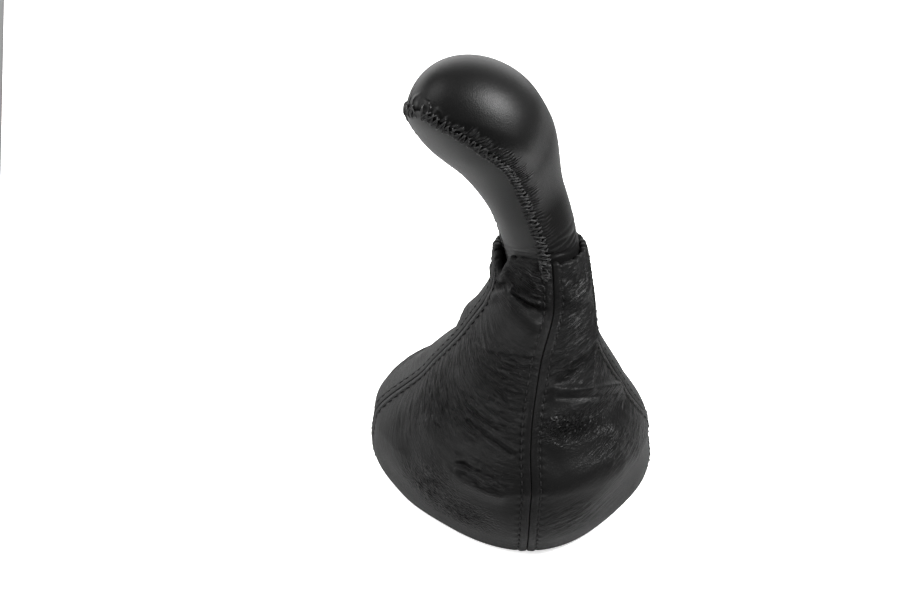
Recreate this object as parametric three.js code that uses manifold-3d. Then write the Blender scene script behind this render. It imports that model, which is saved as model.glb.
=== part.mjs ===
// Hooked gear grip, laced in leather, standing in its four-panel leather gaiter.
// Millimetres, +Z up. The grip hooks toward -Y. The gaiter stands on its turned-in hem.

import * as THREE from "three";
import { mergeVertices } from "three/addons/utils/BufferGeometryUtils.js";
import Module from "manifold-3d";

const wasm = await Module();
wasm.setup();

// Clearances and leather
const clearance = 0.3;
const gaiterLeather = 1.2;
const gripLeather = 1.4;

// Grip spine: a cubic curve from the foot, as reach toward -Y and height
const neckRise = 18.0;
const shoulderReach = 16.8;
const shoulderHeight = 75.1;
const hookReach = 68.4;
const hookHeight = 92.7;

// Grip section at even steps along the spine, foot to tip, over the leather
const gripHalfWidths = [17.0, 16.4, 22.2, 28.8, 24.8];
const gripInnerDepths = [15.7, 17.0, 17.4, 18.2, 14.4];
const gripOuterDepths = [17.3, 18.8, 29.2, 31.5, 32.6];
const seamHalfAngles = [43.8, 45.8, 46.4, 48.7, 40.4];
const tipRounding = 0.391;
const stripEnd = 0.985;
const stripEndRounding = 0.12;

// How the grip stands in the gaiter
const gripAcross = 0.9;
const gripBack = 17.5;
const gripSunk = 5.3;
const gripLean = -7;

// Lever sleeve, collar and tie, all about the neck's axis
const leverDiameter = 12;
const sleeveWall = 2;
const sleeveDepth = 28;
const sleeveLip = 1.6;
const collarHeight = 15;
const collarFlange = 2.4;
const collarRadius = 14.2;
const grooveRadius = 11.5;
const tieWidth = 4.8;
const tieThickness = 1.3;
const tieHead = { width: 8, height: 6, depth: 5 };

// Gaiter wall: its height and its half sizes where it is widest
const gaiterHeight = 124;
const gaiterHalfWidth = 67.1;
const gaiterHalfDepth = 59.2;

// Sections of the wall at shares of its height, hem to throat, as shares of its half sizes
const gaiterStations = [0, 0.12, 0.3, 0.5, 0.7, 0.85, 1];
const throatEaseAcross = 4.6;
const throatEaseDeep = 3.9;
const wallWidthShares = [0.812, 0.963, 1, 0.73, 0.516, 0.382];
const wallDepthShares = [0.812, 0.963, 1, 0.73, 0.517, 0.392];
const wallSquareness = [2.6, 2.6, 2.1, 2.1, 1.65, 1.7, 2.1];
const wallCentresX = [-0.6, -3.2, -2.0, 4.5, 4.5, 2.9];
const wallCentresY = [-0.6, 2.3, 0.6, 3.3, 7.1, 15.6];
const wallTwists = [0.1, -0.8, 0.3, -5.3, -0.9, 5.1, 6.4];

// The notch where the throat's edge folds down beside the left ear
const notchAngle = -119.5;
const notchSpread = 10;
const notchDepth = 10;
const notchReach = 29;

// Folds of the wall: lines of [angle, height], how wide the fold is, and how far it stands out or sinks in
const folds = [
  { line: [[-101, 52], [-90, 49], [-78, 44.5], [-58, 38]], width: 4.0, rise: 1.6 },
  { line: [[-98, 59], [-85, 57.5], [-74, 54.5]], width: 4.5, rise: -1.3 },
  { line: [[-122, 33], [-110, 31], [-100, 26], [-90, 20]], width: 8.0, rise: 1.2 },
  { line: [[-80, 75], [-64, 72], [-52, 69]], width: 5.0, rise: -1.1 },
  { line: [[-112, 47], [-104, 44], [-98, 38]], width: 5.0, rise: -1.0 },
  { line: [[16, 92], [-6, 89], [-20, 86], [-30, 81]], width: 3.2, rise: 1.7 },
  { line: [[3, 86], [-12, 83], [-26, 78.5]], width: 4.0, rise: -1.8 },
  { line: [[30, 66], [8, 71.5], [-10, 74.5], [-34, 77]], width: 3.6, rise: 1.8 },
  { line: [[20, 61.5], [-2, 64.5], [-24, 63]], width: 5.5, rise: -2.3 },
  { line: [[-6, 52], [-20, 53], [-32, 52]], width: 8.0, rise: -1.2 },
  { line: [[10, 54], [0, 50], [-10, 47], [-24, 45]], width: 4.5, rise: 1.4 },
  { line: [[-2, 38], [-14, 33], [-25, 25]], width: 6.0, rise: 1.1 },
  { line: [[-133, 101], [-112, 107], [-82, 105], [-59, 99]], width: 3.0, rise: 1.5 },
  { line: [[-116, 112], [-97, 112], [-68, 104.5], [-56, 103.5]], width: 3.0, rise: -1.6 },
  { line: [[-99, 124], [-89, 121.5], [-80, 119.5], [-70, 116]], width: 3.0, rise: 1.3 },
  { line: [[-140, 124], [-142, 116], [-140, 108]], width: 5.0, rise: 1.6 },
  { line: [[-215, 88], [-190, 82], [-160, 86]], width: 5.0, rise: 1.4 },
  { line: [[-210, 76], [-185, 72], [-158, 74]], width: 5.0, rise: -1.5 },
  { line: [[-205, 60], [-180, 63], [-155, 58]], width: 5.5, rise: 1.5 },
  { line: [[-200, 48], [-178, 50], [-160, 45]], width: 6.0, rise: -1.2 },
  { line: [[60, 92], [85, 86], [118, 90]], width: 5.0, rise: 1.4 },
  { line: [[65, 80], [90, 76], [122, 79]], width: 4.6, rise: -1.4 },
  { line: [[58, 66], [84, 69], [112, 62]], width: 5.5, rise: 1.6 },
  { line: [[66, 54], [92, 52], [120, 56]], width: 6.0, rise: -1.3 },
];

// Hem, throat edge and seams
const hemWidth = 12;
const hemBend = 6;
const hemBendAngle = 60;
const throatFold = 1.6;
const seamGap = 0.3;
const seamAllowance = 8;
const seamSkive = 5;
const seamSink = 0.8;
const seamRoll = 1.3;
const seamPuff = 0.5;
const puffPlace = 3.2;
const puffSpread = 2;

// Fineness of the leather's folds: rows up the wall, and columns between the seam allowances
const openSides = { rows: 28, columns: 6 };
const hiddenSides = { rows: 20, columns: 5 };

const rad = THREE.MathUtils.degToRad;

// A smooth curve through values at rising stations, which never overshoots between two of them.
function smoothCurve(stations, values) {
  const steps = values.slice(1).map((v, i) => (v - values[i]) / (stations[i + 1] - stations[i]));
  const slopes = values.map((_, i) => {
    if (i === 0 || i === values.length - 1) return steps[Math.min(i, steps.length - 1)];
    const [a, b] = [steps[i - 1], steps[i]];
    return a * b <= 0 ? 0 : (2 * a * b) / (a + b);
  });
  return (s) => {
    const x = THREE.MathUtils.clamp(s, stations[0], stations.at(-1));
    const i = Math.max(0, stations.findLastIndex((at, k) => at <= x && k < stations.length - 1));
    const span = stations[i + 1] - stations[i];
    const t = (x - stations[i]) / span;
    const rise = t * t * (3 - 2 * t);
    const lead = t * (1 - t) * (1 - t) * span;
    const trail = t * t * (t - 1) * span;
    return values[i] * (1 - rise) + values[i + 1] * rise + slopes[i] * lead + slopes[i + 1] * trail;
  };
}

// Meshes and solids

// A closed geometry with its faces turned outward.
function closedGeometry(points, triangles) {
  let volume = 0;
  for (const [a, b, c] of triangles) {
    volume += points[a].dot(new THREE.Vector3().crossVectors(points[b], points[c]));
  }
  const outward = volume < 0 ? triangles.map(([a, b, c]) => [a, c, b]) : triangles;
  const geometry = new THREE.BufferGeometry();
  geometry.setAttribute("position", new THREE.Float32BufferAttribute(points.flatMap((p) => p.toArray()), 3));
  geometry.setIndex(outward.flat());
  return geometry;
}

// A solid through closed rings of points, with a fan over each end.
function loft(rings) {
  const count = rings[0].length;
  const points = rings.flat();
  const triangles = [];
  for (let j = 0; j < rings.length - 1; j += 1) {
    for (let i = 0; i < count; i += 1) {
      const next = (i + 1) % count;
      const [a, b] = [j * count + i, j * count + next];
      triangles.push([a, b, b + count], [a, b + count, a + count]);
    }
  }
  for (const [j, turn] of [[0, 1], [rings.length - 1, 0]]) {
    const middle = points.length;
    const centre = rings[j].reduce((sum, p) => sum.add(p), new THREE.Vector3()).divideScalar(count);
    points.push(centre);
    for (let i = 0; i < count; i += 1) {
      const pair = [j * count + i, j * count + ((i + 1) % count)];
      triangles.push(turn ? [middle, pair[1], pair[0]] : [middle, pair[0], pair[1]]);
    }
  }
  return closedGeometry(points, triangles);
}

function solidOf(geometry) {
  const bare = geometry.clone();
  bare.deleteAttribute("normal");
  bare.deleteAttribute("uv");
  const merged = mergeVertices(bare, 1e-4);
  return new wasm.Manifold(new wasm.Mesh({
    numProp: 3,
    vertProperties: new Float32Array(merged.attributes.position.array),
    triVerts: new Uint32Array(merged.index.array),
  }));
}

function geometryOf(solid) {
  const mesh = solid.getMesh();
  const geometry = new THREE.BufferGeometry();
  geometry.setAttribute("position", new THREE.BufferAttribute(mesh.vertProperties, 3));
  geometry.setIndex(new THREE.BufferAttribute(mesh.triVerts, 1));
  return geometry;
}

// A turned piece about +Z from a closed outline of [radius, height] points.
function turned(outline, sides) {
  const closed = [...outline, outline[0]].map(([radius, height]) => new THREE.Vector2(radius, height));
  return new THREE.LatheGeometry(closed, sides).rotateX(Math.PI / 2);
}

// Grip

const spine = new THREE.CubicBezierCurve(
  new THREE.Vector2(0, 0),
  new THREE.Vector2(0, neckRise),
  new THREE.Vector2(shoulderReach, shoulderHeight),
  new THREE.Vector2(hookReach, hookHeight),
);
const spineLength = spine.getLength();
const quarters = [0, 0.25, 0.5, 0.75, 1];
const halfWidthAt = smoothCurve(quarters, gripHalfWidths);
const innerDepthAt = smoothCurve(quarters, gripInnerDepths);
const outerDepthAt = smoothCurve(quarters, gripOuterDepths);
const seamAngleAt = smoothCurve(quarters, seamHalfAngles);

// A point of the grip at share s of the spine and angle phi round it, where phi 0 faces the hook side.
// The form is drawn in by inset all over, and spread past its own surface by swell.
function gripPoint(s, phi, inset = 0, swell = 0) {
  const reach = 1 - inset / spineLength;
  const at = THREE.MathUtils.clamp(s * reach, 0, 1);
  const origin = spine.getPointAt(at);
  const along = spine.getTangentAt(at);
  if (s < 0) origin.addScaledVector(along, s * spineLength);
  const past = Math.max(0, (s - (1 - tipRounding)) / tipRounding);
  const cap = swell > 0 ? swell : Math.sqrt(Math.max(0, 1 - past * past));
  const depth = Math.cos(phi) > 0 ? innerDepthAt(s) : outerDepthAt(s);
  const lift = (depth - inset) * cap * Math.cos(phi);
  const side = (halfWidthAt(s) - inset) * cap * Math.sin(phi);
  return new THREE.Vector3(side, -(origin.x + along.y * lift), origin.y - along.x * lift);
}

// The whole form of the grip, drawn in by inset. With below, it runs on past the foot by that share of the spine.
function gripForm(inset, below = 0) {
  const [rings, sides] = [18, 22];
  const stations = Array.from({ length: rings }, (_, j) => 1 - (1 - j / rings) ** 1.5);
  if (below > 0) stations.unshift(-below);
  const ring = (s) => Array.from({ length: sides }, (_, i) => gripPoint(s, (2 * Math.PI * i) / sides, inset));
  return solidOf(loft(stations.map(ring)));
}

// The wedge of space that the under strip fills, spread by gap on its seam sides and end.
function stripWedge(gap) {
  const sections = [];
  const steps = 18;
  const arcPoints = 7;
  const pastSurface = 1.5;
  const pastFoot = 0.06;
  const end = stripEnd + gap / spineLength;
  for (let j = 0; j <= steps; j += 1) {
    const s = -pastFoot + (end + pastFoot) * Math.sin((Math.PI / 2) * (j / steps));
    const past = Math.max(0, (s - (end - stripEndRounding)) / stripEndRounding);
    const share = Math.max(0.03, Math.sqrt(Math.max(0, 1 - past * past)));
    const half = rad(seamAngleAt(s)) * share + gap / halfWidthAt(s);
    const arc = Array.from({ length: arcPoints }, (_, i) => {
      return gripPoint(s, half * ((2 * i) / (arcPoints - 1) - 1), 0, pastSurface);
    });
    const origin = gripPoint(s, 0, 0, 1e-6);
    sections.push([origin, ...arc]);
  }
  return solidOf(loft(sections));
}

const skin = gripForm(0).subtract(gripForm(gripLeather, 0.05));
const underCover = geometryOf(skin.intersect(stripWedge(0)));
const upperCover = geometryOf(skin.subtract(stripWedge(seamGap)));

const sleeveRadius = leverDiameter / 2 + sleeveWall;
const socketDepth = sleeveDepth + clearance;
const socket = new THREE.CylinderGeometry(sleeveRadius + clearance, sleeveRadius + clearance, 2 * socketDepth, 24)
  .rotateX(Math.PI / 2);
const core = geometryOf(gripForm(gripLeather + clearance).subtract(solidOf(socket)));

const collarTop = -clearance;
const collarFoot = collarTop - collarHeight;
const grooveTop = collarTop - collarFlange;
const grooveFoot = collarFoot + collarFlange;
const sleeveFoot = collarFoot - sleeveLip - clearance;
const sleeve = turned([
  [leverDiameter / 2, sleeveFoot],
  [sleeveRadius + sleeveLip, sleeveFoot],
  [sleeveRadius + sleeveLip, collarFoot - clearance],
  [sleeveRadius, collarFoot - clearance],
  [sleeveRadius, sleeveDepth],
  [leverDiameter / 2, sleeveDepth],
], 20);

const collar = turned([
  [sleeveRadius + clearance, collarFoot],
  [collarRadius, collarFoot],
  [collarRadius, grooveFoot],
  [grooveRadius, grooveFoot],
  [grooveRadius, grooveTop],
  [collarRadius, grooveTop],
  [collarRadius, collarTop],
  [sleeveRadius + clearance, collarTop],
], 28);

const tailRadius = grooveRadius + clearance;
const tieRadius = tailRadius + gaiterLeather + clearance;
const tieMiddle = (grooveTop + grooveFoot) / 2;
const strap = turned([
  [tieRadius, tieMiddle - tieWidth / 2],
  [tieRadius + tieThickness, tieMiddle - tieWidth / 2],
  [tieRadius + tieThickness, tieMiddle + tieWidth / 2],
  [tieRadius, tieMiddle + tieWidth / 2],
], 28);
const head = new THREE.BoxGeometry(tieHead.width, tieHead.depth, tieHead.height)
  .translate(0, -(tieRadius + tieThickness / 2 + tieHead.depth / 2), tieMiddle);
const tie = geometryOf(solidOf(strap).add(solidOf(head)));

// Gaiter

const gripFootHeight = gaiterHeight - gripSunk;
const grip = new THREE.Group();
grip.position.set(gripAcross, gripBack, gripFootHeight);
grip.rotation.y = rad(gripLean);
grip.updateMatrix();

// The neck's middle where it passes the throat, which the throat is centred on.
const neckInThroat = (() => {
  const share = gripSunk / spineLength;
  const front = gripPoint(share, 0);
  const back = gripPoint(share, Math.PI);
  return front.add(back).divideScalar(2).applyMatrix4(grip.matrix);
})();
const throatHalfWidth = gripHalfWidths[0] + throatEaseAcross;
const throatHalfDepth = (gripInnerDepths[0] + gripOuterDepths[0]) / 2 + throatEaseDeep;

const wallHalfWidths = wallWidthShares.map((share) => share * gaiterHalfWidth);
const wallHalfDepths = wallDepthShares.map((share) => share * gaiterHalfDepth);
const wallHalfWidthAt = smoothCurve(gaiterStations, [...wallHalfWidths, throatHalfWidth]);
const wallHalfDepthAt = smoothCurve(gaiterStations, [...wallHalfDepths, throatHalfDepth]);
const squarenessAt = smoothCurve(gaiterStations, wallSquareness);
const centreXAt = smoothCurve(gaiterStations, [...wallCentresX, neckInThroat.x]);
const centreYAt = smoothCurve(gaiterStations, [...wallCentresY, neckInThroat.y]);
const twistAt = smoothCurve(gaiterStations, wallTwists);

// A point of the gaiter's outer wall, stretched tight, at angle phi and height z.
function tightWall(phi, z) {
  const t = z / gaiterHeight;
  const [c, s, n] = [Math.cos(phi), Math.sin(phi), squarenessAt(t)];
  const radius = (Math.abs(c) ** n + Math.abs(s) ** n) ** (-1 / n);
  const [x, y] = [radius * c * wallHalfWidthAt(t), radius * s * wallHalfDepthAt(t)];
  const turn = rad(twistAt(t));
  return new THREE.Vector3(
    centreXAt(t) + x * Math.cos(turn) - y * Math.sin(turn),
    centreYAt(t) + x * Math.sin(turn) + y * Math.cos(turn),
    z,
  );
}

function wallCentre(z) {
  const t = z / gaiterHeight;
  return new THREE.Vector3(centreXAt(t), centreYAt(t), z);
}

// How far the wall stands in or out beside a seam, from the distance to it.
function seamRelief(distance) {
  const puff = seamPuff * Math.exp(-(((distance - puffPlace) / puffSpread) ** 2));
  return puff - seamSink * Math.exp(-((distance / seamRoll) ** 2));
}

// The folds' lines as straight stretches on the tight wall, and how far all of them together move a point.
const foldLines = folds.map(({ line, width, rise }) => {
  const points = line.map(([angle, height]) => tightWall(rad(angle), height));
  return { width, rise, stretches: points.slice(1).map((end, i) => new THREE.Line3(points[i], end)) };
});

function foldRelief(point) {
  const nearest = new THREE.Vector3();
  return foldLines.reduce((sum, { width, rise, stretches }) => {
    const distances = stretches.map((stretch) => {
      stretch.closestPointToPoint(point, true, nearest);
      return nearest.distanceTo(point);
    });
    return sum + rise * Math.exp(-((Math.min(...distances) / width) ** 2));
  }, 0);
}

// A point of the folded wall, where seams lie at odd multiples of 45 degrees.
function wallPoint(phi, z) {
  const point = tightWall(phi, z);
  const centre = wallCentre(z);
  const outward = new THREE.Vector3().subVectors(point, centre);
  const fromSeam = Math.abs(((phi / (Math.PI / 2)) % 1 + 1.5) % 1 - 0.5) * (Math.PI / 2);
  const relief = seamRelief(fromSeam * outward.length()) + foldRelief(point);
  return point.addScaledVector(outward.normalize(), relief);
}

// The height at angle phi of a row that lies at height z where the throat's edge is level.
function notched(phi, z) {
  const away = THREE.MathUtils.euclideanModulo(THREE.MathUtils.radToDeg(phi) - notchAngle + 180, 360) - 180;
  const share = Math.max(0, (z - gaiterHeight + notchReach) / notchReach);
  return z - notchDepth * Math.exp(-((away / notchSpread) ** 2)) * share ** 2;
}

// A row of the sheet that follows the wall at height z, moved toward the middle by inset and up by lift.
function wallRow(z, inset, lift) {
  return (phi) => {
    const height = notched(phi, z);
    const p = wallPoint(phi, height);
    const inward = new THREE.Vector3().subVectors(wallCentre(height), p).setZ(0).normalize();
    return p.addScaledVector(inward, inset).setZ(height + lift);
  };
}

// A row of the tail inside the throat, round the neck's axis, at a height given for each angle.
function tailRow(heightAt, halfWidth, innerDepth, outerDepth) {
  return (phi) => {
    const depth = Math.sin(phi) < 0 ? innerDepth : outerDepth;
    const local = new THREE.Vector3(halfWidth * Math.cos(phi), depth * Math.sin(phi), heightAt(phi));
    return local.applyMatrix4(grip.matrix);
  };
}

// The rows of the sheet from the hem's inner edge, up the wall, over the throat edge and down to the tie.
// Each has its point at an angle, and whether the seam allowances are folded back behind it.
function sheetRows(wallRows) {
  const rows = [];
  const add = (point, doubled) => rows.push({ point, doubled });
  const bend = rad(hemBendAngle);
  const wallFoot = hemBend * (1 - Math.cos(bend));
  const bendInset = hemBend * Math.sin(bend);
  for (const share of [1, 0.5, 0]) add(wallRow(wallFoot, bendInset + hemWidth * share, -wallFoot), false);
  for (const share of [0.35, 0.7]) {
    const angle = bend * share;
    const rise = hemBend * (1 - Math.cos(angle));
    add(wallRow(wallFoot, bendInset - hemBend * Math.sin(angle), rise - wallFoot), false);
  }
  const wallTop = gaiterHeight - throatFold;
  const allowanceTop = gaiterHeight - gripSunk - collarHeight;
  for (let j = 0; j < wallRows; j += 1) {
    const z = wallFoot + ((wallTop - wallFoot) * j) / (wallRows - 1);
    add(wallRow(z, 0, 0), j > 0 && z < allowanceTop);
  }
  for (const share of [0.25, 0.5, 0.75, 1]) {
    const angle = Math.PI * share;
    add(wallRow(wallTop, throatFold * (1 - Math.cos(angle)), throatFold * Math.sin(angle)), false);
  }
  const ease = 2 * clearance;
  const neck = [gripHalfWidths[0] + ease, gripInnerDepths[0] + ease, gripOuterDepths[0] + ease];
  const flange = collarRadius + ease;
  const underFlange = grooveTop - gaiterLeather - ease;
  add(tailRow((phi) => Math.min(0, notched(phi, wallTop) - gripFootHeight) - clearance, ...neck), false);
  add(tailRow(() => grooveTop, flange, flange, flange), false);
  add(tailRow(() => underFlange, tailRadius, tailRadius, tailRadius), false);
  add(tailRow(() => grooveFoot + ease, tailRadius, tailRadius, tailRadius), false);
  return rows;
}

// Distances of a panel's columns from its left seam, closer together beside the seams.
function columnDistances(width, middle) {
  const beside = [0, seamRoll, seamSkive, seamAllowance];
  const [from, to] = [beside.at(-1), width - beside.at(-1)];
  const inner = Array.from({ length: middle - 1 }, (_, k) => from + ((to - from) * (k + 1)) / middle);
  return [...beside, ...inner, ...beside.map((d) => width - d).reverse()];
}

// The angles of a row's columns between two seams, with half the seam's gap kept clear at each.
function columnAngles(point, from, to, middle) {
  const samples = 48;
  const angles = Array.from({ length: samples + 1 }, (_, k) => from + ((to - from) * k) / samples);
  const lengths = [0];
  for (let k = 1; k <= samples; k += 1) {
    lengths.push(lengths.at(-1) + point(angles[k]).distanceTo(point(angles[k - 1])));
  }
  const width = lengths.at(-1) - seamGap;
  return columnDistances(width, middle).map((distance) => {
    const along = distance + seamGap / 2;
    const k = Math.min(samples - 1, lengths.findLastIndex((length) => length <= along));
    return angles[k] + ((angles[k + 1] - angles[k]) * (along - lengths[k])) / (lengths[k + 1] - lengths[k]);
  });
}

// One leather panel between two seams. Its allowances are folded back inside, so the wall is double beside
// them, and the folded edge is skived thin.
function gaiterPanel(fromAngle, toAngle, { rows: wallRows, columns: middle }) {
  const angleStep = 0.02;
  const doubledColumns = 3;
  const rows = sheetRows(wallRows).map((row) => {
    const angles = columnAngles(row.point, rad(fromAngle), rad(toAngle), middle);
    return { ...row, angles, face: angles.map((phi) => row.point(phi)) };
  });
  const columns = rows[0].face.length;
  const back = rows.map(({ point, doubled, angles, face }, j) => face.map((p, i) => {
    const across = new THREE.Vector3()
      .subVectors(point(angles[i] + angleStep), point(angles[i] - angleStep));
    const [below, above] = [rows[Math.max(0, j - 1)], rows[Math.min(rows.length - 1, j + 1)]];
    const up = new THREE.Vector3().subVectors(above.point(angles[i]), below.point(angles[i]));
    const inward = new THREE.Vector3().crossVectors(up, across).normalize();
    const single = [i, columns - 1 - i].every((fromEdge) => fromEdge >= doubledColumns);
    return p.clone().addScaledVector(inward, doubled && !single ? 2 * gaiterLeather : gaiterLeather);
  }));
  const points = [...rows.flatMap(({ face }) => face), ...back.flat()];
  const half = rows.length * columns;
  const triangles = [];
  const quad = (a, b, c, d) => triangles.push([a, b, c], [a, c, d]);
  for (let j = 0; j < rows.length - 1; j += 1) {
    for (let i = 0; i < columns - 1; i += 1) {
      const a = j * columns + i;
      quad(a, a + 1, a + 1 + columns, a + columns);
      quad(half + a, half + a + columns, half + a + 1 + columns, half + a + 1);
    }
    for (const [i, flip] of [[0, false], [columns - 1, true]]) {
      const a = j * columns + i;
      if (flip) quad(a, half + a, half + a + columns, a + columns);
      else quad(a, a + columns, half + a + columns, half + a);
    }
  }
  for (let i = 0; i < columns - 1; i += 1) {
    const top = (rows.length - 1) * columns + i;
    quad(i, half + i, half + i + 1, i + 1);
    quad(top, top + 1, half + top + 1, half + top);
  }
  return closedGeometry(points, triangles);
}

// Materials and assembly

const finishes = {
  gaiterHide: { color: 0x1d1d1e, roughness: 0.55, metalness: 0 },
  gripHide: { color: 0x242425, roughness: 0.45, metalness: 0 },
  mouldedPlastic: { color: 0x151515, roughness: 0.6, metalness: 0 },
  nylon: { color: 0x0f0f10, roughness: 0.5, metalness: 0 },
  rubber: { color: 0x101010, roughness: 0.8, metalness: 0 },
};

function piece(name, geometry, finish) {
  const mesh = new THREE.Mesh(geometry, new THREE.MeshStandardMaterial(finishes[finish]));
  mesh.name = name;
  return mesh;
}

grip.add(
  piece("grip_core", core, "mouldedPlastic"),
  piece("grip_cover_under", underCover, "gripHide"),
  piece("grip_cover_upper", upperCover, "gripHide"),
  piece("lever_sleeve", sleeve, "rubber"),
  piece("gaiter_collar", collar, "mouldedPlastic"),
  piece("cable_tie", tie, "nylon"),
);

const gaiter = new THREE.Group();
const panelAngle = 90;
const panelStarts = { front: -135, right: -45, rear: 45, left: 135 };
for (const [side, start] of Object.entries(panelStarts)) {
  const fineness = side === "front" || side === "right" ? openSides : hiddenSides;
  gaiter.add(piece(`gaiter_panel_${side}`, gaiterPanel(start, start + panelAngle, fineness), "gaiterHide"));
}

// The whole stands with the middle of its outer box over the origin.
const group = new THREE.Group();
group.add(gaiter, grip);
const box = new THREE.Box3().setFromObject(group);
const middle = box.getCenter(new THREE.Vector3());
gaiter.position.sub(middle.clone().setZ(box.min.z));
grip.position.sub(middle.clone().setZ(box.min.z));

export default group;
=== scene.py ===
# %% [markdown]
# # A laced gear grip in its leather gaiter
#
# The object is a hooked gear grip, covered in two pieces of smooth hide that are laced together by
# hand, and a gaiter of four soft leather panels. The gaiter is turned in at the top and tied under
# the grip, so it flares from the neck down to a turned-in hem.
#
# Almost everything that shows is leather, so this lesson is about thin sheets: how to bend them,
# crease them, sew them and light them. Lengths are in millimetres until a mesh is made.

# %% Load the measured frame
import math

import bpy
import numpy as np
from mathutils import Matrix, Vector


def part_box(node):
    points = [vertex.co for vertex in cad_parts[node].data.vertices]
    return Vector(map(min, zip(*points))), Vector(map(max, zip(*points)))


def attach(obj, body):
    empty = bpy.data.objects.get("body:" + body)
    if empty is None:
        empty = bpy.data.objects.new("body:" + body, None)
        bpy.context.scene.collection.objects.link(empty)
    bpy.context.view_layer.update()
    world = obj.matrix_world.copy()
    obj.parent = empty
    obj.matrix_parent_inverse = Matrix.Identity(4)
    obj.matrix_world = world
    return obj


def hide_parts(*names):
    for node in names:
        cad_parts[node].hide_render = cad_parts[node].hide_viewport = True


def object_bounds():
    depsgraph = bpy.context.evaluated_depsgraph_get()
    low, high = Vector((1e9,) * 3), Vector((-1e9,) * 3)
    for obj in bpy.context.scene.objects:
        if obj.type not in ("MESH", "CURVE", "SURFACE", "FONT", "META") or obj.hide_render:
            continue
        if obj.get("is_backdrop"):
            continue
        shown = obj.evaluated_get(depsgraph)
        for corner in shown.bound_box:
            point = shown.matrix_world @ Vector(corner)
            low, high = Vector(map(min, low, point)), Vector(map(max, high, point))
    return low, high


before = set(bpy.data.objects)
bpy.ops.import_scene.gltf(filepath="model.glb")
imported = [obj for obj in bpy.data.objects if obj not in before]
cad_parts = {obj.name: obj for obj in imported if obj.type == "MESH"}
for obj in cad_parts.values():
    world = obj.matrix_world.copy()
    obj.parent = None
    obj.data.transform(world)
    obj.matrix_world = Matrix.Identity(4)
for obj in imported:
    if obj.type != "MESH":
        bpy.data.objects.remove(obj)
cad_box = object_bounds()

MM = 0.001
print("nodes", sorted(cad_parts))

# %% [markdown]
# ## Where things are
#
# The collar under the grip is a turned part, so the middle of its box lies on the neck's axis. From
# there the foot of the grip and the middle of the gaiter follow, and nothing has to be placed by eye.

# %% Seats taken from the frame
COLLAR_HEIGHT = 15.0
CLEARANCE = 0.3
GRIP_LEAN = math.radians(-7.0)
GRIP_ACROSS = 0.9
GRIP_BACK = 17.5
GRIP_SUNK = 5.3
GAITER_HEIGHT = 124.0
GRIP_FOOT_HEIGHT = GAITER_HEIGHT - GRIP_SUNK

lean = np.array([
    [math.cos(GRIP_LEAN), 0, math.sin(GRIP_LEAN)],
    [0, 1, 0],
    [-math.sin(GRIP_LEAN), 0, math.cos(GRIP_LEAN)],
])
collar_low, collar_high = (np.array(corner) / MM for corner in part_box("gaiter_collar"))
neck_down = lean @ np.array([0, 0, -(CLEARANCE + COLLAR_HEIGHT / 2)])
grip_foot = (collar_low + collar_high) / 2 - neck_down
gaiter_middle = grip_foot - np.array([GRIP_ACROSS, GRIP_BACK, GRIP_FOOT_HEIGHT])
print("grip foot", grip_foot.round(2), "gaiter middle", gaiter_middle.round(2))

# %% [markdown]
# ## Smooth curves through a few sizes
#
# Leather swells and narrows without corners. A few sizes at rising stations are joined by
# a curve that never overshoots between two of them, which keeps a drawn-in neck from growing bumps.

# %% A curve through values
def smooth_curve(stations, values):
    x, y = np.array(stations, float), np.array(values, float)
    steps = np.diff(y) / np.diff(x)
    slopes = np.concatenate([steps[:1], np.zeros(len(y) - 2), steps[-1:]])
    for i in range(1, len(y) - 1):
        a, b = steps[i - 1], steps[i]
        slopes[i] = 0 if a * b <= 0 else 2 * a * b / (a + b)

    def at(s):
        s = np.clip(s, x[0], x[-1])
        i = np.clip(np.searchsorted(x, s, side="right") - 1, 0, len(x) - 2)
        span = x[i + 1] - x[i]
        t = (s - x[i]) / span
        rise = t * t * (3 - 2 * t)
        bend = slopes[i] * t * (1 - t) ** 2 * span + slopes[i + 1] * t * t * (t - 1) * span
        return y[i] * (1 - rise) + y[i + 1] * rise + bend

    return at


# %% Small helpers
def unit(vectors):
    """The same directions, each with a length of one."""
    return vectors / np.linalg.norm(vectors, axis=-1, keepdims=True)


def bell(x, width):
    """A soft bell curve, one where x is zero and nearly nothing at twice the width."""
    return np.exp(-((x / width) ** 2))


def path_lengths(points):
    """How far along a path each of its points lies."""
    return np.concatenate([[0], np.cumsum(np.linalg.norm(np.diff(points, axis=0), axis=1))])


def read_along(lengths, rows, at):
    """A table's columns, read off at some lengths along its rows."""
    return np.stack([np.interp(at, lengths, rows[:, k]) for k in range(rows.shape[1])], -1)


def grey(value):
    return (value, value, value, 1)


# %% [markdown]
# ## The grip's form
#
# A spine runs from the foot of the neck up and over to the tip of the hook. At each share of its
# length the section is an oval, with one depth toward the inside of the hook and one toward the
# outside. The two covers are parts of this one form, so they always meet at the lacing.

# %% Grip sizes and its surface
NECK_RISE = 18.0
SHOULDER = (16.8, 75.1)
HOOK = (68.4, 92.7)
QUARTERS = [0, 0.25, 0.5, 0.75, 1]
GRIP_HALF_WIDTHS = [17.0, 16.4, 22.2, 28.8, 24.8]
GRIP_INNER_DEPTHS = [15.7, 17.0, 17.4, 18.2, 14.4]
GRIP_OUTER_DEPTHS = [17.3, 18.8, 29.2, 31.5, 32.6]
SEAM_HALF_ANGLES = [43.8, 45.8, 46.4, 48.7, 40.4]
TIP_ROUNDING = 0.391
STRIP_END = 0.99999
STRIP_END_SPLAY = 1.05
STRIP_END_BLUNTNESS = 0.13
FAR_SIDE_SHARES = [0, 0.5, 0.75, 0.86, 0.94, 0.985, 1]
FAR_SIDE_WIDER = [13, 13, 16, 26, 35, 30, 8]

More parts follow.
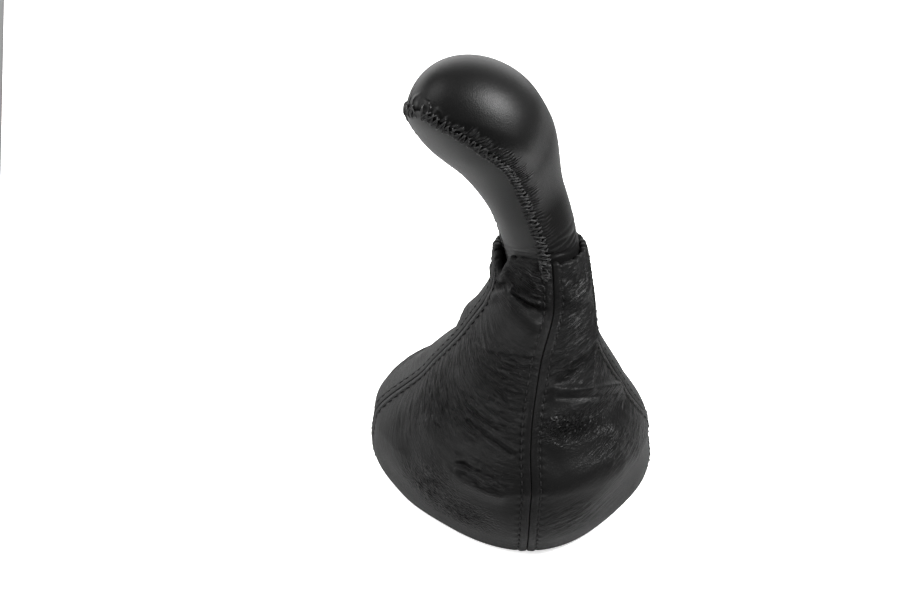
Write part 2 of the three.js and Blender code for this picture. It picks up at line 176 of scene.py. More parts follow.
half_width_at = smooth_curve(QUARTERS, GRIP_HALF_WIDTHS)
inner_depth_at = smooth_curve(QUARTERS, GRIP_INNER_DEPTHS)
outer_depth_at = smooth_curve(QUARTERS, GRIP_OUTER_DEPTHS)
seam_angle_at = smooth_curve(QUARTERS, SEAM_HALF_ANGLES)
far_side_wider_at = smooth_curve(FAR_SIDE_SHARES, FAR_SIDE_WIDER)

corners = [np.array(p, float) for p in ((0, 0), (0, NECK_RISE), SHOULDER, HOOK)]
ahead = np.linspace(0, 1, 801)[:, None]
left = 1 - ahead
spine_points = (
    left ** 3 * corners[0]
    + 3 * left ** 2 * ahead * corners[1]
    + 3 * left * ahead ** 2 * corners[2]
    + ahead ** 3 * corners[3]
)
spine_runs = np.concatenate([[0], np.cumsum(np.hypot(*np.diff(spine_points, axis=0).T))])
SPINE_LENGTH = spine_runs[-1]
spine_tangents = unit(np.gradient(spine_points, axis=0))


def cap_at(s):
    """How much of its full section the grip still has at share s, down to nothing at the tip."""
    past = np.clip((s - (1 - TIP_ROUNDING)) / TIP_ROUNDING, 0, 1)
    return np.sqrt(1 - past ** 2)


def grip_surface(s, phi, inset=0.0):
    """Points of the grip at shares s of its spine and angles phi, where phi 0 faces the hook side."""
    s, phi = np.broadcast_arrays(np.asarray(s, float), np.asarray(phi, float))
    run = np.clip(s * (1 - inset / SPINE_LENGTH), 0, 1) * SPINE_LENGTH
    reach, height = (np.interp(run, spine_runs, spine_points[:, k]) for k in (0, 1))
    along = [np.interp(run, spine_runs, spine_tangents[:, k]) for k in (0, 1)]
    below = np.minimum(s, 0) * SPINE_LENGTH
    cap = cap_at(s)
    depth = np.where(np.cos(phi) > 0, inner_depth_at(s), outer_depth_at(s))
    lift = (depth - inset) * cap * np.cos(phi)
    side = (half_width_at(s) - inset) * cap * np.sin(phi)
    local = np.stack([side, -(reach + along[1] * lift), height + below - along[0] * lift], -1)
    return local @ lean.T + grip_foot


print("spine", round(SPINE_LENGTH, 1), "mm; tip", grip_surface(1.0, 0.0).round(1))

# %% [markdown]
# ## The gaiter's form
#
# The wall is a stack of rounded rectangles that turn into ovals toward the neck. They wander a
# little off the middle, because the leather stands by itself and slumps. The top edge dips into a
# notch, rises in front, ripples, and lies in against the neck.

# %% Gaiter sizes and its wall
GAITER_STATIONS = [0, 0.12, 0.3, 0.5, 0.7, 0.85, 1]
THROAT_EASE_ACROSS = 4.6
THROAT_EASE_DEEP = 3.9
WALL_HALF_WIDTHS = [54.5, 64.6, 67.1, 49.0, 34.6, 25.6]
WALL_HALF_DEPTHS = [48.1, 57.0, 59.2, 43.2, 30.6, 23.2]
WALL_SQUARENESS = [2.6, 2.6, 2.1, 2.1, 1.65, 1.7, 2.1]
WALL_CENTRES_X = [-0.6, -3.2, -2.0, 4.5, 4.5, 2.9]
WALL_CENTRES_Y = [-0.6, 2.3, 0.6, 3.3, 7.1, 15.6]
WALL_TWISTS = [0.1, -0.8, 0.3, -5.3, -0.9, 5.1, 6.4]
THROAT_NOTCH = {"angle": -119.5, "width": 10.0, "depth": 10.0}
NOTCH_START = 95.0
RIGHT_SEAM_HEIGHTS = [0, 40, 60, 75, 90, 105, 124]
RIGHT_SEAM_ANGLES = [40, 38, 36.5, 31, 24, 27, 31]
THROAT_FRONT = {"angle": -72.0, "width": 26.0, "rise": 2.6}
THROAT_HUG = {"angle": -28.0, "spread": 1.6, "everywhere": 0.3, "depth": 1.3}
THROAT_RIPPLES = [(17, 1.0, 0.35), (29, 2.0, 0.3)]

throat_share = GRIP_SUNK / SPINE_LENGTH
neck_sides = grip_surface(throat_share, 0) + grip_surface(throat_share, math.pi)
neck_in_throat = neck_sides / 2 - gaiter_middle
throat_half_width = GRIP_HALF_WIDTHS[0] + THROAT_EASE_ACROSS
throat_half_depth = (GRIP_INNER_DEPTHS[0] + GRIP_OUTER_DEPTHS[0]) / 2 + THROAT_EASE_DEEP

wall_half_width_at = smooth_curve(GAITER_STATIONS, WALL_HALF_WIDTHS + [throat_half_width])
wall_half_depth_at = smooth_curve(GAITER_STATIONS, WALL_HALF_DEPTHS + [throat_half_depth])
squareness_at = smooth_curve(GAITER_STATIONS, WALL_SQUARENESS)
centre_x_at = smooth_curve(GAITER_STATIONS, WALL_CENTRES_X + [neck_in_throat[0]])
centre_y_at = smooth_curve(GAITER_STATIONS, WALL_CENTRES_Y + [neck_in_throat[1]])
twist_at = smooth_curve(GAITER_STATIONS, WALL_TWISTS)
right_seam_at = smooth_curve(RIGHT_SEAM_HEIGHTS, RIGHT_SEAM_ANGLES)


def near_throat(z, most=1.0):
    """How near a height is to the throat's edge, from 0 where the notch starts to 1 at the edge."""
    return np.clip((z - NOTCH_START) / (GAITER_HEIGHT - NOTCH_START), 0, most)


def notched(phi, z):
    """The height that a row at height z has at angle phi, once the throat's edge is cut and rippled."""
    rise = near_throat(z)
    from_notch = (np.degrees(phi) - THROAT_NOTCH["angle"] + 180) % 360 - 180
    dip = THROAT_NOTCH["depth"] * bell(from_notch, THROAT_NOTCH["width"])
    ripple = sum(height * np.sin(waves * phi + start) for waves, start, height in THROAT_RIPPLES)
    front = THROAT_FRONT["rise"] * bell(np.degrees(phi) - THROAT_FRONT["angle"], THROAT_FRONT["width"])
    return z - dip * rise ** 2 + (ripple + front) * rise ** 5


def hug(phi, z):
    """How far the top of the wall lies in against the neck, in front and to the right."""
    facing = np.cos(phi - math.radians(THROAT_HUG["angle"]))
    side = np.clip(facing * THROAT_HUG["spread"] + THROAT_HUG["everywhere"], 0, 1)
    return THROAT_HUG["depth"] * side * near_throat(z, 1.2) ** 3


def wall_surface(phi, z):
    """Points of the gaiter's outer wall at angles phi and heights z, before any fold."""
    phi, z = np.broadcast_arrays(np.asarray(phi, float), np.asarray(z, float))
    t = z / GAITER_HEIGHT
    c, s, n = np.cos(phi), np.sin(phi), squareness_at(t)
    radius = (np.abs(c) ** n + np.abs(s) ** n) ** (-1 / n)
    x, y = radius * c * wall_half_width_at(t), radius * s * wall_half_depth_at(t)
    drawn_in = 1 - hug(phi, z) / np.hypot(x, y)
    x, y = x * drawn_in, y * drawn_in
    turn = np.radians(twist_at(t))
    across = centre_x_at(t) + x * np.cos(turn) - y * np.sin(turn)
    back = centre_y_at(t) + x * np.sin(turn) + y * np.cos(turn)
    return np.stack([across, back, z], -1) + gaiter_middle


print("widest", np.ptp(wall_surface(np.linspace(0, 6.28, 90), 35.0), axis=0).round(1))

# %% [markdown]
# ## Meshes from grids
#
# A sheet of leather is a grid of points on its face, and the same grid moved inward on its back.
# The two grids joined round their border are one closed skin, with a real thickness.

# %% Closed sheets and threads
def new_object(name, points, faces):
    mesh = bpy.data.meshes.new(name)
    sizes = np.array([len(face) for face in faces])
    loops = np.concatenate(faces)
    mesh.vertices.add(len(points))
    mesh.vertices.foreach_set("co", (np.asarray(points) * MM).astype(np.float32).ravel())
    mesh.loops.add(len(loops))
    mesh.loops.foreach_set("vertex_index", loops.astype(np.int32))
    mesh.polygons.add(len(faces))
    mesh.polygons.foreach_set("loop_start", (np.cumsum(sizes) - sizes).astype(np.int32))
    mesh.polygons.foreach_set("use_smooth", np.ones(len(faces), bool))
    mesh.update(calc_edges=True)
    mesh.validate()
    obj = bpy.data.objects.new(name, mesh)
    bpy.context.scene.collection.objects.link(obj)
    return obj


def grid_faces(rows, columns, first=0):
    j, i = np.meshgrid(np.arange(rows - 1), np.arange(columns - 1), indexing="ij")
    a = (first + j * columns + i).ravel()
    return np.stack([a, a + 1, a + 1 + columns, a + columns], -1)


def closed_sheet(name, face, back):
    """A closed skin from two grids of points, the face seen from outside and the back behind it."""
    rows, columns = face.shape[:2]
    half = rows * columns
    outer = grid_faces(rows, columns)
    inner = grid_faces(rows, columns, half)[:, ::-1]
    index = np.arange(half).reshape(rows, columns)
    border = np.concatenate([index[0, :-1], index[:-1, -1], index[-1, :0:-1], index[:0:-1, 0]])
    after = np.roll(border, -1)
    rim = np.stack([after, border, border + half, after + half], -1)
    points = np.concatenate([face.reshape(-1, 3), back.reshape(-1, 3)])
    return new_object(name, points, np.concatenate([outer, inner, rim]))


def store_field(obj, name, values):
    """Keeps three numbers for each grid point of a closed sheet, for its finish to read."""
    both = np.concatenate([values.reshape(-1, 3)] * 2)
    field = obj.data.attributes.new(name, "FLOAT_VECTOR", "POINT")
    field.data.foreach_set("vector", both.astype(np.float32).ravel())


def grid_normals(points):
    across = np.gradient(points, axis=1)
    up = np.gradient(points, axis=0)
    normals = np.cross(across, up)
    length = np.linalg.norm(normals, axis=-1, keepdims=True)
    return normals / np.maximum(length, 1e-9)


# %% Threads
THREAD_SIDES = 8
THREAD_TAPER = 0.65


def thread_object(name, runs, radius):
    """Round threads along runs of points, each one closed and drawn thinner toward both ends."""
    points, faces, first = [], [], 0
    turn = np.linspace(0, 2 * math.pi, THREAD_SIDES, endpoint=False)
    for run in runs:
        run = np.asarray(run, float)
        along = unit(np.gradient(run, axis=0))
        helper = np.where(np.abs(along[:, 2:3]) < 0.9, [[0, 0, 1.0]], [[1.0, 0, 0]])
        side = unit(np.cross(along, helper))
        up = np.cross(side, along)
        share = np.linspace(-1, 1, len(run))
        size = radius * (1 - np.abs(share) ** 6 * THREAD_TAPER)
        ring = (
            run[:, None]
            + size[:, None, None] * np.cos(turn)[None, :, None] * side[:, None]
            + size[:, None, None] * np.sin(turn)[None, :, None] * up[:, None]
        )
        count = len(run)
        points.append(ring.reshape(-1, 3))
        index = first + np.arange(count * THREAD_SIDES).reshape(count, THREAD_SIDES)
        after = np.roll(index, -1, axis=1)
        faces += list(np.stack([index[:-1], after[:-1], after[1:], index[1:]], -1).reshape(-1, 4))
        faces += [index[0, ::-1], index[-1]]
        first += count * THREAD_SIDES
    return new_object(name, np.concatenate(points), faces)


# %% [markdown]
# ## Folds and wrinkles
#
# A fold is a line drawn on the wall, by angle and height, with a width and a rise. A negative rise
# is a valley. Each one lifts or sinks the points near its line by a soft bell curve. The broad ones
# give the gaiter its slumped shape. The fine ones come in patches, where the leather is squeezed:
# short creases that follow the way the hide flows, with a seeded random place, length and depth.

# %% Broad folds, as angle and height along the line, then width and rise
BROAD_FOLDS = [
    # Front panel
    ([(-101, 52), (-90, 49), (-82, 47.5), (-78, 44.5), (-71, 41.5), (-58, 38)], 4.0, 1.6),
    ([(-93, 54), (-86, 51), (-78, 48), (-72, 45.5)], 2.6, -1.1),
    ([(-98, 59), (-85, 57.5), (-74, 54.5)], 4.5, -1.3),
    ([(-122, 33), (-110, 31), (-100, 26), (-90, 20)], 8.0, 1.2),
    ([(-80, 75), (-64, 72), (-52, 69)], 5.0, -1.1),
    ([(-112, 47), (-104, 44), (-98, 38)], 5.0, -1.0),
    # Right panel
    ([(16, 92), (-6, 89), (-20, 86), (-30, 81)], 3.0, 1.7),
    ([(3, 86), (-12, 83), (-26, 78.5)], 4.0, -1.8),
    ([(9, 88), (1, 82.5), (-6, 76)], 2.4, 1.5),
    ([(30, 66), (8, 71.5), (-10, 74.5), (-34, 77)], 3.6, 1.8),
    ([(27, 64.5), (0, 69.5), (-20, 69.5), (-34, 67)], 2.6, 1.0),
    ([(20, 61.5), (-2, 64.5), (-24, 63)], 5.5, -2.3),
    ([(-6, 52), (-20, 53), (-32, 52)], 8.0, -1.2),
    ([(10, 54), (0, 50), (-10, 47), (-24, 45)], 5.5, 0.4),
    ([(-2, 38), (-14, 33), (-25, 25)], 6.0, 0.6),
    # Round the neck
    ([(-133, 101), (-112, 107), (-96, 107), (-82, 105), (-71, 102), (-59, 99)], 2.8, 1.5),
    ([(-116, 112), (-97, 112), (-84, 108.5), (-68, 104.5), (-56, 103.5)], 2.4, -1.7),
    ([(-97, 116), (-88, 113.5), (-76, 111.5)], 3.0, -1.4),
    ([(-99, 124), (-89, 121.5), (-80, 119.5), (-70, 116)], 2.6, 1.5),
    ([(-140, 124), (-142, 116), (-140, 108)], 5.0, 1.6),
    ([(-30, 118), (-14, 114), (4, 117)], 3.0, -1.1),
    ([(-36, 110), (-18, 107), (2, 110), (20, 116)], 2.8, 0.9),
    # Left and rear panels
    ([(-215, 88), (-190, 82), (-160, 86)], 5.0, 1.4),
    ([(-210, 76), (-185, 72), (-158, 74)], 5.0, -1.5),
    ([(-205, 60), (-180, 63), (-155, 58)], 5.5, 1.5),
    ([(-200, 48), (-178, 50), (-160, 45)], 6.0, -1.2),
    ([(76, 92), (96, 86), (118, 90)], 5.0, 1.2),
    ([(78, 80), (98, 76), (122, 79)], 4.6, -1.2),
    ([(76, 66), (92, 69), (112, 62)], 5.5, 1.4),
    ([(78, 54), (98, 52), (120, 56)], 6.0, -1.2),
    ([(150, 112), (175, 106), (205, 110)], 3.0, 1.2),
    ([(60, 112), (90, 107), (120, 111)], 3.0, 1.2),
]

# %% Crisp creases read one by one
CREASES = [
    # Front panel: two long ones that run down to the front seam
    ([(-82, 62), (-75.5, 61.3), (-69, 60), (-64, 59), (-58, 57.4), (-52, 55.4)], 0.9, 1.0),
    ([(-82, 60.2), (-75, 59.4), (-69, 58.2), (-62, 56.6), (-54, 54)], 0.8, -0.8),
    ([(-88, 67), (-80, 66), (-72, 64.5), (-64, 62.5)], 0.9, 0.7),
    # Front panel: the small crumples below them
    ([(-77.5, 47.4), (-74, 48.4), (-71, 47.4), (-67.5, 47)], 0.9, 1.1),
    ([(-77, 45.8), (-74, 46.4), (-70.5, 45.4)], 0.8, -0.6),
    ([(-76, 44.8), (-71.5, 44.9), (-66.5, 43.8), (-62.5, 42.6)], 1.0, 1.2),
    ([(-73, 43.2), (-67, 42.1), (-63, 41.1)], 0.9, -0.6),
    ([(-64.5, 41.6), (-60, 42.6), (-56.5, 41.4)], 0.9, 1.0),
    ([(-58.5, 44.1), (-53, 43)], 0.8, 0.8),
    # Front panel: below the throat
    ([(-81.5, 87.6), (-75, 86), (-68.5, 85), (-58, 85.2), (-49.5, 86)], 0.8, 0.7),
    ([(-105, 86.5), (-89, 88), (-77, 89), (-51.5, 89)], 0.8, 0.6),
    ([(-96, 110.8), (-84, 109.5), (-75, 108.2), (-62, 107.4)], 0.9, 1.2),
    ([(-92, 108.2), (-80, 106.6), (-66, 105.8)], 0.9, -0.9),
    # Right panel: the crests of its broad folds
    ([(28, 67), (8, 72.5), (-10, 75.5), (-34, 78)], 1.3, 0.9),
    ([(28, 64.5), (6, 70), (-12, 73), (-30, 74.5)], 1.3, -0.9),
    ([(14, 93), (-6, 90), (-20, 87), (-30, 82)], 1.3, 0.7),
    ([(8, 88), (2, 82.5), (-4, 76)], 1.1, 0.9),
]

# %% [markdown]
# Each patch of fine creases is a middle (angle, height), how far it spreads across and up the
# panel, whether it is drawn out or crumpled, how many creases it has, and their length, width and
# depth. The creases follow the flow of their panel, which turns down toward a squeezed seam.

# %% Patches of fine creases
DRAWN_OUT, CRUMPLED = 0, 1
PATCHES = [
    # Front panel, from the squeezed left seam to the middle
    ((-116, 62), (11, 16), DRAWN_OUT, 80, 11, 0.6, 0.3),
    ((-98, 60), (17, 14), DRAWN_OUT, 90, 14, 0.6, 0.32),
    ((-78, 66), (14, 10), DRAWN_OUT, 46, 12, 0.6, 0.28),
    ((-66, 82), (13, 12), DRAWN_OUT, 80, 9, 0.5, 0.26),
    ((-98, 84), (14, 12), DRAWN_OUT, 46, 8, 0.5, 0.22),
    ((-120, 84), (8, 14), DRAWN_OUT, 36, 6, 0.5, 0.25),
    ((-88, 30), (11, 9), CRUMPLED, 30, 3.4, 0.5, 0.4),
    ((-74, 21), (13, 6), CRUMPLED, 30, 3.6, 0.5, 0.4),
    ((-62, 45), (9, 6), DRAWN_OUT, 26, 5, 0.5, 0.3),
    ((-84, 112), (12, 9), DRAWN_OUT, 28, 9, 0.5, 0.3),
    ((-78, 119), (18, 4), DRAWN_OUT, 35, 9, 0.6, 0.3),
    ((-66, 115), (12, 7), DRAWN_OUT, 18, 6, 0.6, 0.25),
    # Right panel
    ((-8, 94), (12, 10), DRAWN_OUT, 59, 9, 0.5, 0.3),
    ((-24, 84), (9, 8), DRAWN_OUT, 40, 6, 0.5, 0.26),
    ((14, 82), (8, 8), DRAWN_OUT, 36, 7, 0.5, 0.3),
    ((-22, 63), (15, 5), CRUMPLED, 40, 4, 0.5, 0.4),
    ((6, 66), (12, 6), DRAWN_OUT, 34, 5, 0.5, 0.3),
    ((16, 50), (16, 12), DRAWN_OUT, 46, 4, 0.5, 0.2),
    ((-28, 22), (16, 8), DRAWN_OUT, 60, 4, 0.5, 0.2),
    ((-14, 114), (14, 7), DRAWN_OUT, 42, 8, 0.5, 0.26),
    ((-34, 104), (5, 12), DRAWN_OUT, 28, 6, 0.5, 0.2),
    # Left and rear panels
    ((-178, 84), (22, 16), DRAWN_OUT, 110, 9, 0.6, 0.28),
    ((-180, 40), (30, 20), DRAWN_OUT, 90, 6, 0.6, 0.24),
    ((90, 84), (22, 16), DRAWN_OUT, 110, 9, 0.6, 0.28),
    ((90, 40), (30, 20), DRAWN_OUT, 90, 6, 0.6, 0.24),
]
CREASE_STEPS = 5
CREASE_STRAY = (7, 6)
CREASE_LENGTHS = (0.45, 1.35)
CREASE_WEIGHTS = (0.35, 1.0)
USUAL_DEPTH = 0.3
SQUEEZE_FADE = 0.9
# A fine crease has a raised lip: how far beside it, in widths, and how high for its depth
LIP_BESIDE = 1.7
LIP_RISE = 0.6
chance = np.random.default_rng(42)

# %% [markdown]
# ## One gaiter panel
#
# A panel is cut flat and sewn to its neighbours at both sides. Its grid runs from the hem's inner
# edge, out and up the wall, over the throat's edge and down to the tie. Columns crowd beside the
# seams, where the sheet rolls in toward the joint and the stitches pull it down.

# %% Panel sizes
GAITER_LEATHER = 1.2
HEM_WIDTH = 12.0
HEM_BEND = 6.0
HEM_BEND_ANGLE = math.radians(60)
THROAT_FOLD = 1.6
SEAM_GAP = 0.3
STITCH_FROM_SEAM = 4.0
STITCH_PITCH = 3.7
STITCH_LENGTH = 2.4
STITCH_RADIUS = 0.32
GROOVE_RADIUS = 11.5
COLLAR_RADIUS = 14.2
COLLAR_FLANGE = 2.4
WALL_FOOT = HEM_BEND * (1 - math.cos(HEM_BEND_ANGLE))
WALL_TOP = GAITER_HEIGHT - THROAT_FOLD
TAIL_RADIUS = GROOVE_RADIUS + CLEARANCE
BESIDE_SEAM = np.array([0, 0.18, 0.4, 0.7, 1.05, 1.5, 2.0, 2.6, 3.2, 3.7, 4.2, 4.8, 5.4, 6.0, 6.7])

# The edge rolls in over SEAM_ROLL. Beside it lie a ridge and the groove that the stitches pull, each
# given by distance from the seam, width and rise, and then the gathers between the stitches.
SEAM_ROLL = 0.8
SEAM_DROP = 0.5
SEAM_BANDS = [(2.4, 1.3, 0.25), (STITCH_FROM_SEAM, 0.5, -0.35)]
SEAM_GATHERS = (STITCH_FROM_SEAM + 0.6, 1.6, 0.14)
CALM_FROM = 1.6
CALM_OVER = 6.0
FOOT_FADE = 10.0
PATCHES_PARTED_AT = 40.0
FOLDS_OVERLAP = 8.0
ALLOWANCE = {"reach": 9.0, "ease": 3.0, "extra": 0.9, "below_top": 12.0}


def column_distances(width, middle):
    """Distances of the columns from the panel's left edge, for one row of that width."""
    share = np.linspace(0, 1, middle + 2)[1:-1]
    inner = BESIDE_SEAM[-1] + (width - 2 * BESIDE_SEAM[-1]) * share
    return np.concatenate([BESIDE_SEAM, inner, width - BESIDE_SEAM[::-1]])


def row_angles(row_point, edges, columns):
    """The angles of a row's columns over one panel, spaced by distance along the row."""
    angles = np.radians(np.linspace(*edges, 361))
    runs = path_lengths(row_point(angles))
    width = runs[-1] - SEAM_GAP
    distances = column_distances(width, columns)
    return np.interp(distances + SEAM_GAP / 2, runs, angles), distances, width


def moved_inward(phi, height, inset):
    """Points of the wall at angles phi and a height, moved level toward its middle by inset."""
    phi, height = np.broadcast_arrays(phi, height)
    p = wall_surface(phi, height)
    t = height / GAITER_HEIGHT
    inward = np.stack([centre_x_at(t), centre_y_at(t), height], -1) + gaiter_middle - p
    inward[..., 2] = 0
    return p + unit(inward) * inset


def hem_row(inset, z):
    """A row below the wall's foot, moved toward the middle by inset and lying at height z."""
    def point(phi):
        moved = moved_inward(phi, WALL_FOOT, inset)
        moved[..., 2] = z + gaiter_middle[2]
        return moved
    return point


def wall_row(z):
    return lambda phi: wall_surface(phi, notched(phi, z))


def throat_row(inset, rise):
    """A row over the throat's edge, moved toward the neck by inset and up by rise."""
    return lambda phi: moved_inward(phi, notched(phi, WALL_TOP), inset) + [0, 0, rise]


def tail_row(half_width, inner_depth, outer_depth, z=None):
    """A row of the tail round the neck's axis, at height z or just under the grip and the throat."""
    def point(phi):
        edge = np.minimum(0, notched(phi, WALL_TOP) - GRIP_FOOT_HEIGHT) - CLEARANCE
        depth = np.where(np.sin(phi) < 0, inner_depth, outer_depth)
        height = edge if z is None else np.full_like(edge, z)
        local = np.stack([half_width * np.cos(phi), depth * np.sin(phi), height], -1)
        return local @ lean.T + grip_foot
    return point


# %% The rows of the sheet, hem to tie
def sheet_rows(wall_steps):
    rows = []
    bend_inset = HEM_BEND * math.sin(HEM_BEND_ANGLE)
    for share in np.linspace(1, 0, 9):
        rows.append(("hem", 0.0, hem_row(bend_inset + HEM_WIDTH * share, 0)))
    for share in np.linspace(0, 1, 9)[1:-1]:
        angle = HEM_BEND_ANGLE * share
        z = HEM_BEND * (1 - math.cos(angle))
        rows.append(("bend", 0.0, hem_row(bend_inset - HEM_BEND * math.sin(angle), z)))
    for z in np.linspace(WALL_FOOT, WALL_TOP, wall_steps):
        rows.append(("wall", z, wall_row(z)))
    for share in np.linspace(0, 1, 9)[1:]:
        angle = math.pi * share
        inset = THROAT_FOLD * (1 - math.cos(angle))
        rows.append(("throat", WALL_TOP, throat_row(inset, THROAT_FOLD * math.sin(angle))))
    ease = 2 * CLEARANCE
    flange = COLLAR_RADIUS + ease
    groove_top = -CLEARANCE - COLLAR_FLANGE
    groove_foot = -CLEARANCE - COLLAR_HEIGHT + COLLAR_FLANGE
    neck = (GRIP_HALF_WIDTHS[0] + ease, GRIP_INNER_DEPTHS[0] + ease, GRIP_OUTER_DEPTHS[0] + ease)
    rows.append(("tail", 0.0, tail_row(*neck)))
    rows.append(("tail", 0.0, tail_row(*[flange] * 3, groove_top)))
    rows.append(("tail", 0.0, tail_row(*[TAIL_RADIUS] * 3, groove_top - GAITER_LEATHER - ease)))
    rows.append(("tail", 0.0, tail_row(*[TAIL_RADIUS] * 3, groove_foot + ease)))
    return rows


# %% Drawing lines and creases into a panel's height map
def add_line(relief, across, up, line, width, rise):
    """Adds a bell-shaped ridge or valley along a line of (across, up) points to a grid of heights."""
    reach = 3 * width
    line = np.asarray(line, float)
    low, high = line.min(0) - reach, line.max(0) + reach
    rows = np.nonzero((up > low[1]) & (up < high[1]))[0]
    if not len(rows):
        return
    block = slice(rows[0], rows[-1] + 1)
    columns = np.nonzero(((across[block] > low[0]) & (across[block] < high[0])).any(0))[0]
    if not len(columns):
        return
    window = (block, slice(columns[0], columns[-1] + 1))
    x, y = across[window], np.broadcast_to(up[block, None], across[window].shape)
    nearest = np.full(x.shape, 1e9)
    for a, b in zip(line[:-1], line[1:]):
        step = b - a
        t = np.clip(((x - a[0]) * step[0] + (y - a[1]) * step[1]) / max(step @ step, 1e-9), 0, 1)
        nearest = np.minimum(nearest, (x - a[0] - t * step[0]) ** 2 + (y - a[1] - t * step[1]) ** 2)
    relief[window] += rise * np.exp(-nearest / width ** 2)


# How much the creases turn down toward the left seam, and how they lean over the whole panel
FLOW = {"front": (1.6, -0.1), "right": (0.0, 0.42), "rear": (0.0, 0.0), "left": (0.0, 0.12)}


def crease_lines(count, spread, length, slope_at):
    """The seeded lines of one patch of fine creases, as steps from the patch's middle in millimetres."""
    for _ in range(count):
        turn = chance.uniform(0, 2 * math.pi)
        out = math.sqrt(chance.uniform(0, 1))
        points = [np.array([math.cos(turn) * spread[0], math.sin(turn) * spread[1]]) * out]
        stray = math.radians(chance.normal(0, CREASE_STRAY[0]))
        step = length * chance.uniform(*CREASE_LENGTHS)
        for _ in range(CREASE_STEPS):
            stray += math.radians(chance.normal(0, CREASE_STRAY[1]))
            heading = math.atan(slope_at(points[-1][0])) + stray
            forward = np.array([math.cos(heading), math.sin(heading)]) * step
            points.append(points[-1] + forward / CREASE_STEPS)
        yield np.array(points), chance.uniform(*CREASE_WEIGHTS) * (1 - 0.5 * out ** 2)


# %% The grid of a panel
def panel_edges(side, kind, z):
    """The angles of a panel's two seams at one row; the right seam leans forward up the wall."""
    right = float(right_seam_at(WALL_TOP if kind == "tail" else z))
    seams = {"front": (-135, -45), "right": (-45, right), "rear": (right, 135), "left": (135, 225)}
    return seams[side]


class PanelGrid:
    """The grid of one panel, with the flat distances across and up that its creases are drawn in."""

    def __init__(self, side, wall_steps, columns):
        rows = sheet_rows(wall_steps)
        spaced = [row_angles(point, panel_edges(side, kind, z), columns) for kind, z, point in rows]
        self.side = side
        self.kinds = np.array([kind for kind, _, _ in rows])
        self.heights = np.array([z for _, z, _ in rows])
        self.is_wall = self.kinds == "wall"
        self.angles, self.distances, self.widths = (np.array(column) for column in zip(*spaced))
        self.points = np.array([point(phi) for (_, _, point), phi in zip(rows, self.angles)])
        self.normals = grid_normals(self.points)
        self.up = path_lengths(self.points[:, self.points.shape[1] // 2])
        self.across = self.distances - self.widths[:, None] / 2
        self.edge = np.minimum(self.distances, self.widths[:, None] - self.distances)
        self.half = max(self.widths) / 2

    def place(self, angle, height):
        """Where a point given by angle and height lies on the flat panel."""
        wall = np.nonzero(self.is_wall)[0]
        j = wall[np.abs(self.heights[wall] - height).argmin()]
        v = np.interp(height, self.heights[wall], self.up[wall])
        return np.array([np.interp(np.radians(angle), self.angles[j], self.across[j]), v])

    def left_share(self, x):
        return np.clip((self.half - x) / (2 * self.half), 0, 1)

    def slope_at(self, x):
        """How steeply the leather's creases run at a distance x from the panel's middle."""
        lean_left, lean_all = FLOW[self.side]
        return lean_all - lean_left * self.left_share(x) ** 2


# %% A panel's folds and creases
def folded(grid):
    """The heights of the folds and creases over a grid, and how much the hide is squeezed there."""
    start, end = panel_edges(grid.side, "wall", PATCHES_PARTED_AT)
    relief = np.zeros(grid.across.shape)
    squeeze = np.zeros(grid.across.shape + (3,))
    for turn in (0, 360):
        for line, width, rise in BROAD_FOLDS + CREASES:
            moved = [(a + turn, h) for a, h in line]
            if start - FOLDS_OVERLAP < np.mean([a for a, _ in moved]) < end + FOLDS_OVERLAP:
                add_line(relief, grid.across, grid.up, [grid.place(a, h) for a, h in moved], width, rise)
        for (angle, height), spread, way, count, length, width, depth in PATCHES:
            if not start < angle + turn < end:
                continue
            u, v = middle = grid.place(angle + turn, height)
            away = np.hypot((grid.across - u) / spread[0], (grid.up[:, None] - v) / spread[1])
            squeeze[..., way] += depth / USUAL_DEPTH * np.exp(-SQUEEZE_FADE * away ** 2)
            for line, weight in crease_lines(count, spread, length, lambda x: grid.slope_at(u + x)):
                dip = depth * weight
                for beside, rise in ((0, -dip), (width * LIP_BESIDE, LIP_RISE * dip)):
                    line_there = middle + line + np.array([0, beside])
                    add_line(relief, grid.across, grid.up, line_there, width, rise)
    fade = np.where(grid.is_wall, np.clip((grid.heights - WALL_FOOT) / FOOT_FADE, 0, 1), 0)
    fade = np.where(grid.kinds == "throat", 1, fade)[:, None]
    calm = np.clip((grid.edge - CALM_FROM) / CALM_OVER, 0, 1)
    return relief * (fade * (0.25 + 0.75 * calm)), squeeze * (0.3 + 0.7 * calm)[..., None] * fade[..., None]


# %% A panel's seam edges
def sewn(grid, relief):
    """The heights over a grid once its edges are rolled in, sewn down and gathered by the stitches."""
    roll = np.clip(1 - grid.edge / SEAM_ROLL, 0, 1)
    relief = relief - SEAM_DROP * (1 - np.sqrt(1 - roll ** 2))
    for at, width, rise in SEAM_BANDS:
        relief += rise * bell(grid.edge - at, width)
    at, width, rise = SEAM_GATHERS
    gathers = np.sin(2 * math.pi * grid.up / STITCH_PITCH)[:, None] * rise
    return relief + gathers * bell(grid.edge - at, width) * grid.is_wall[:, None]


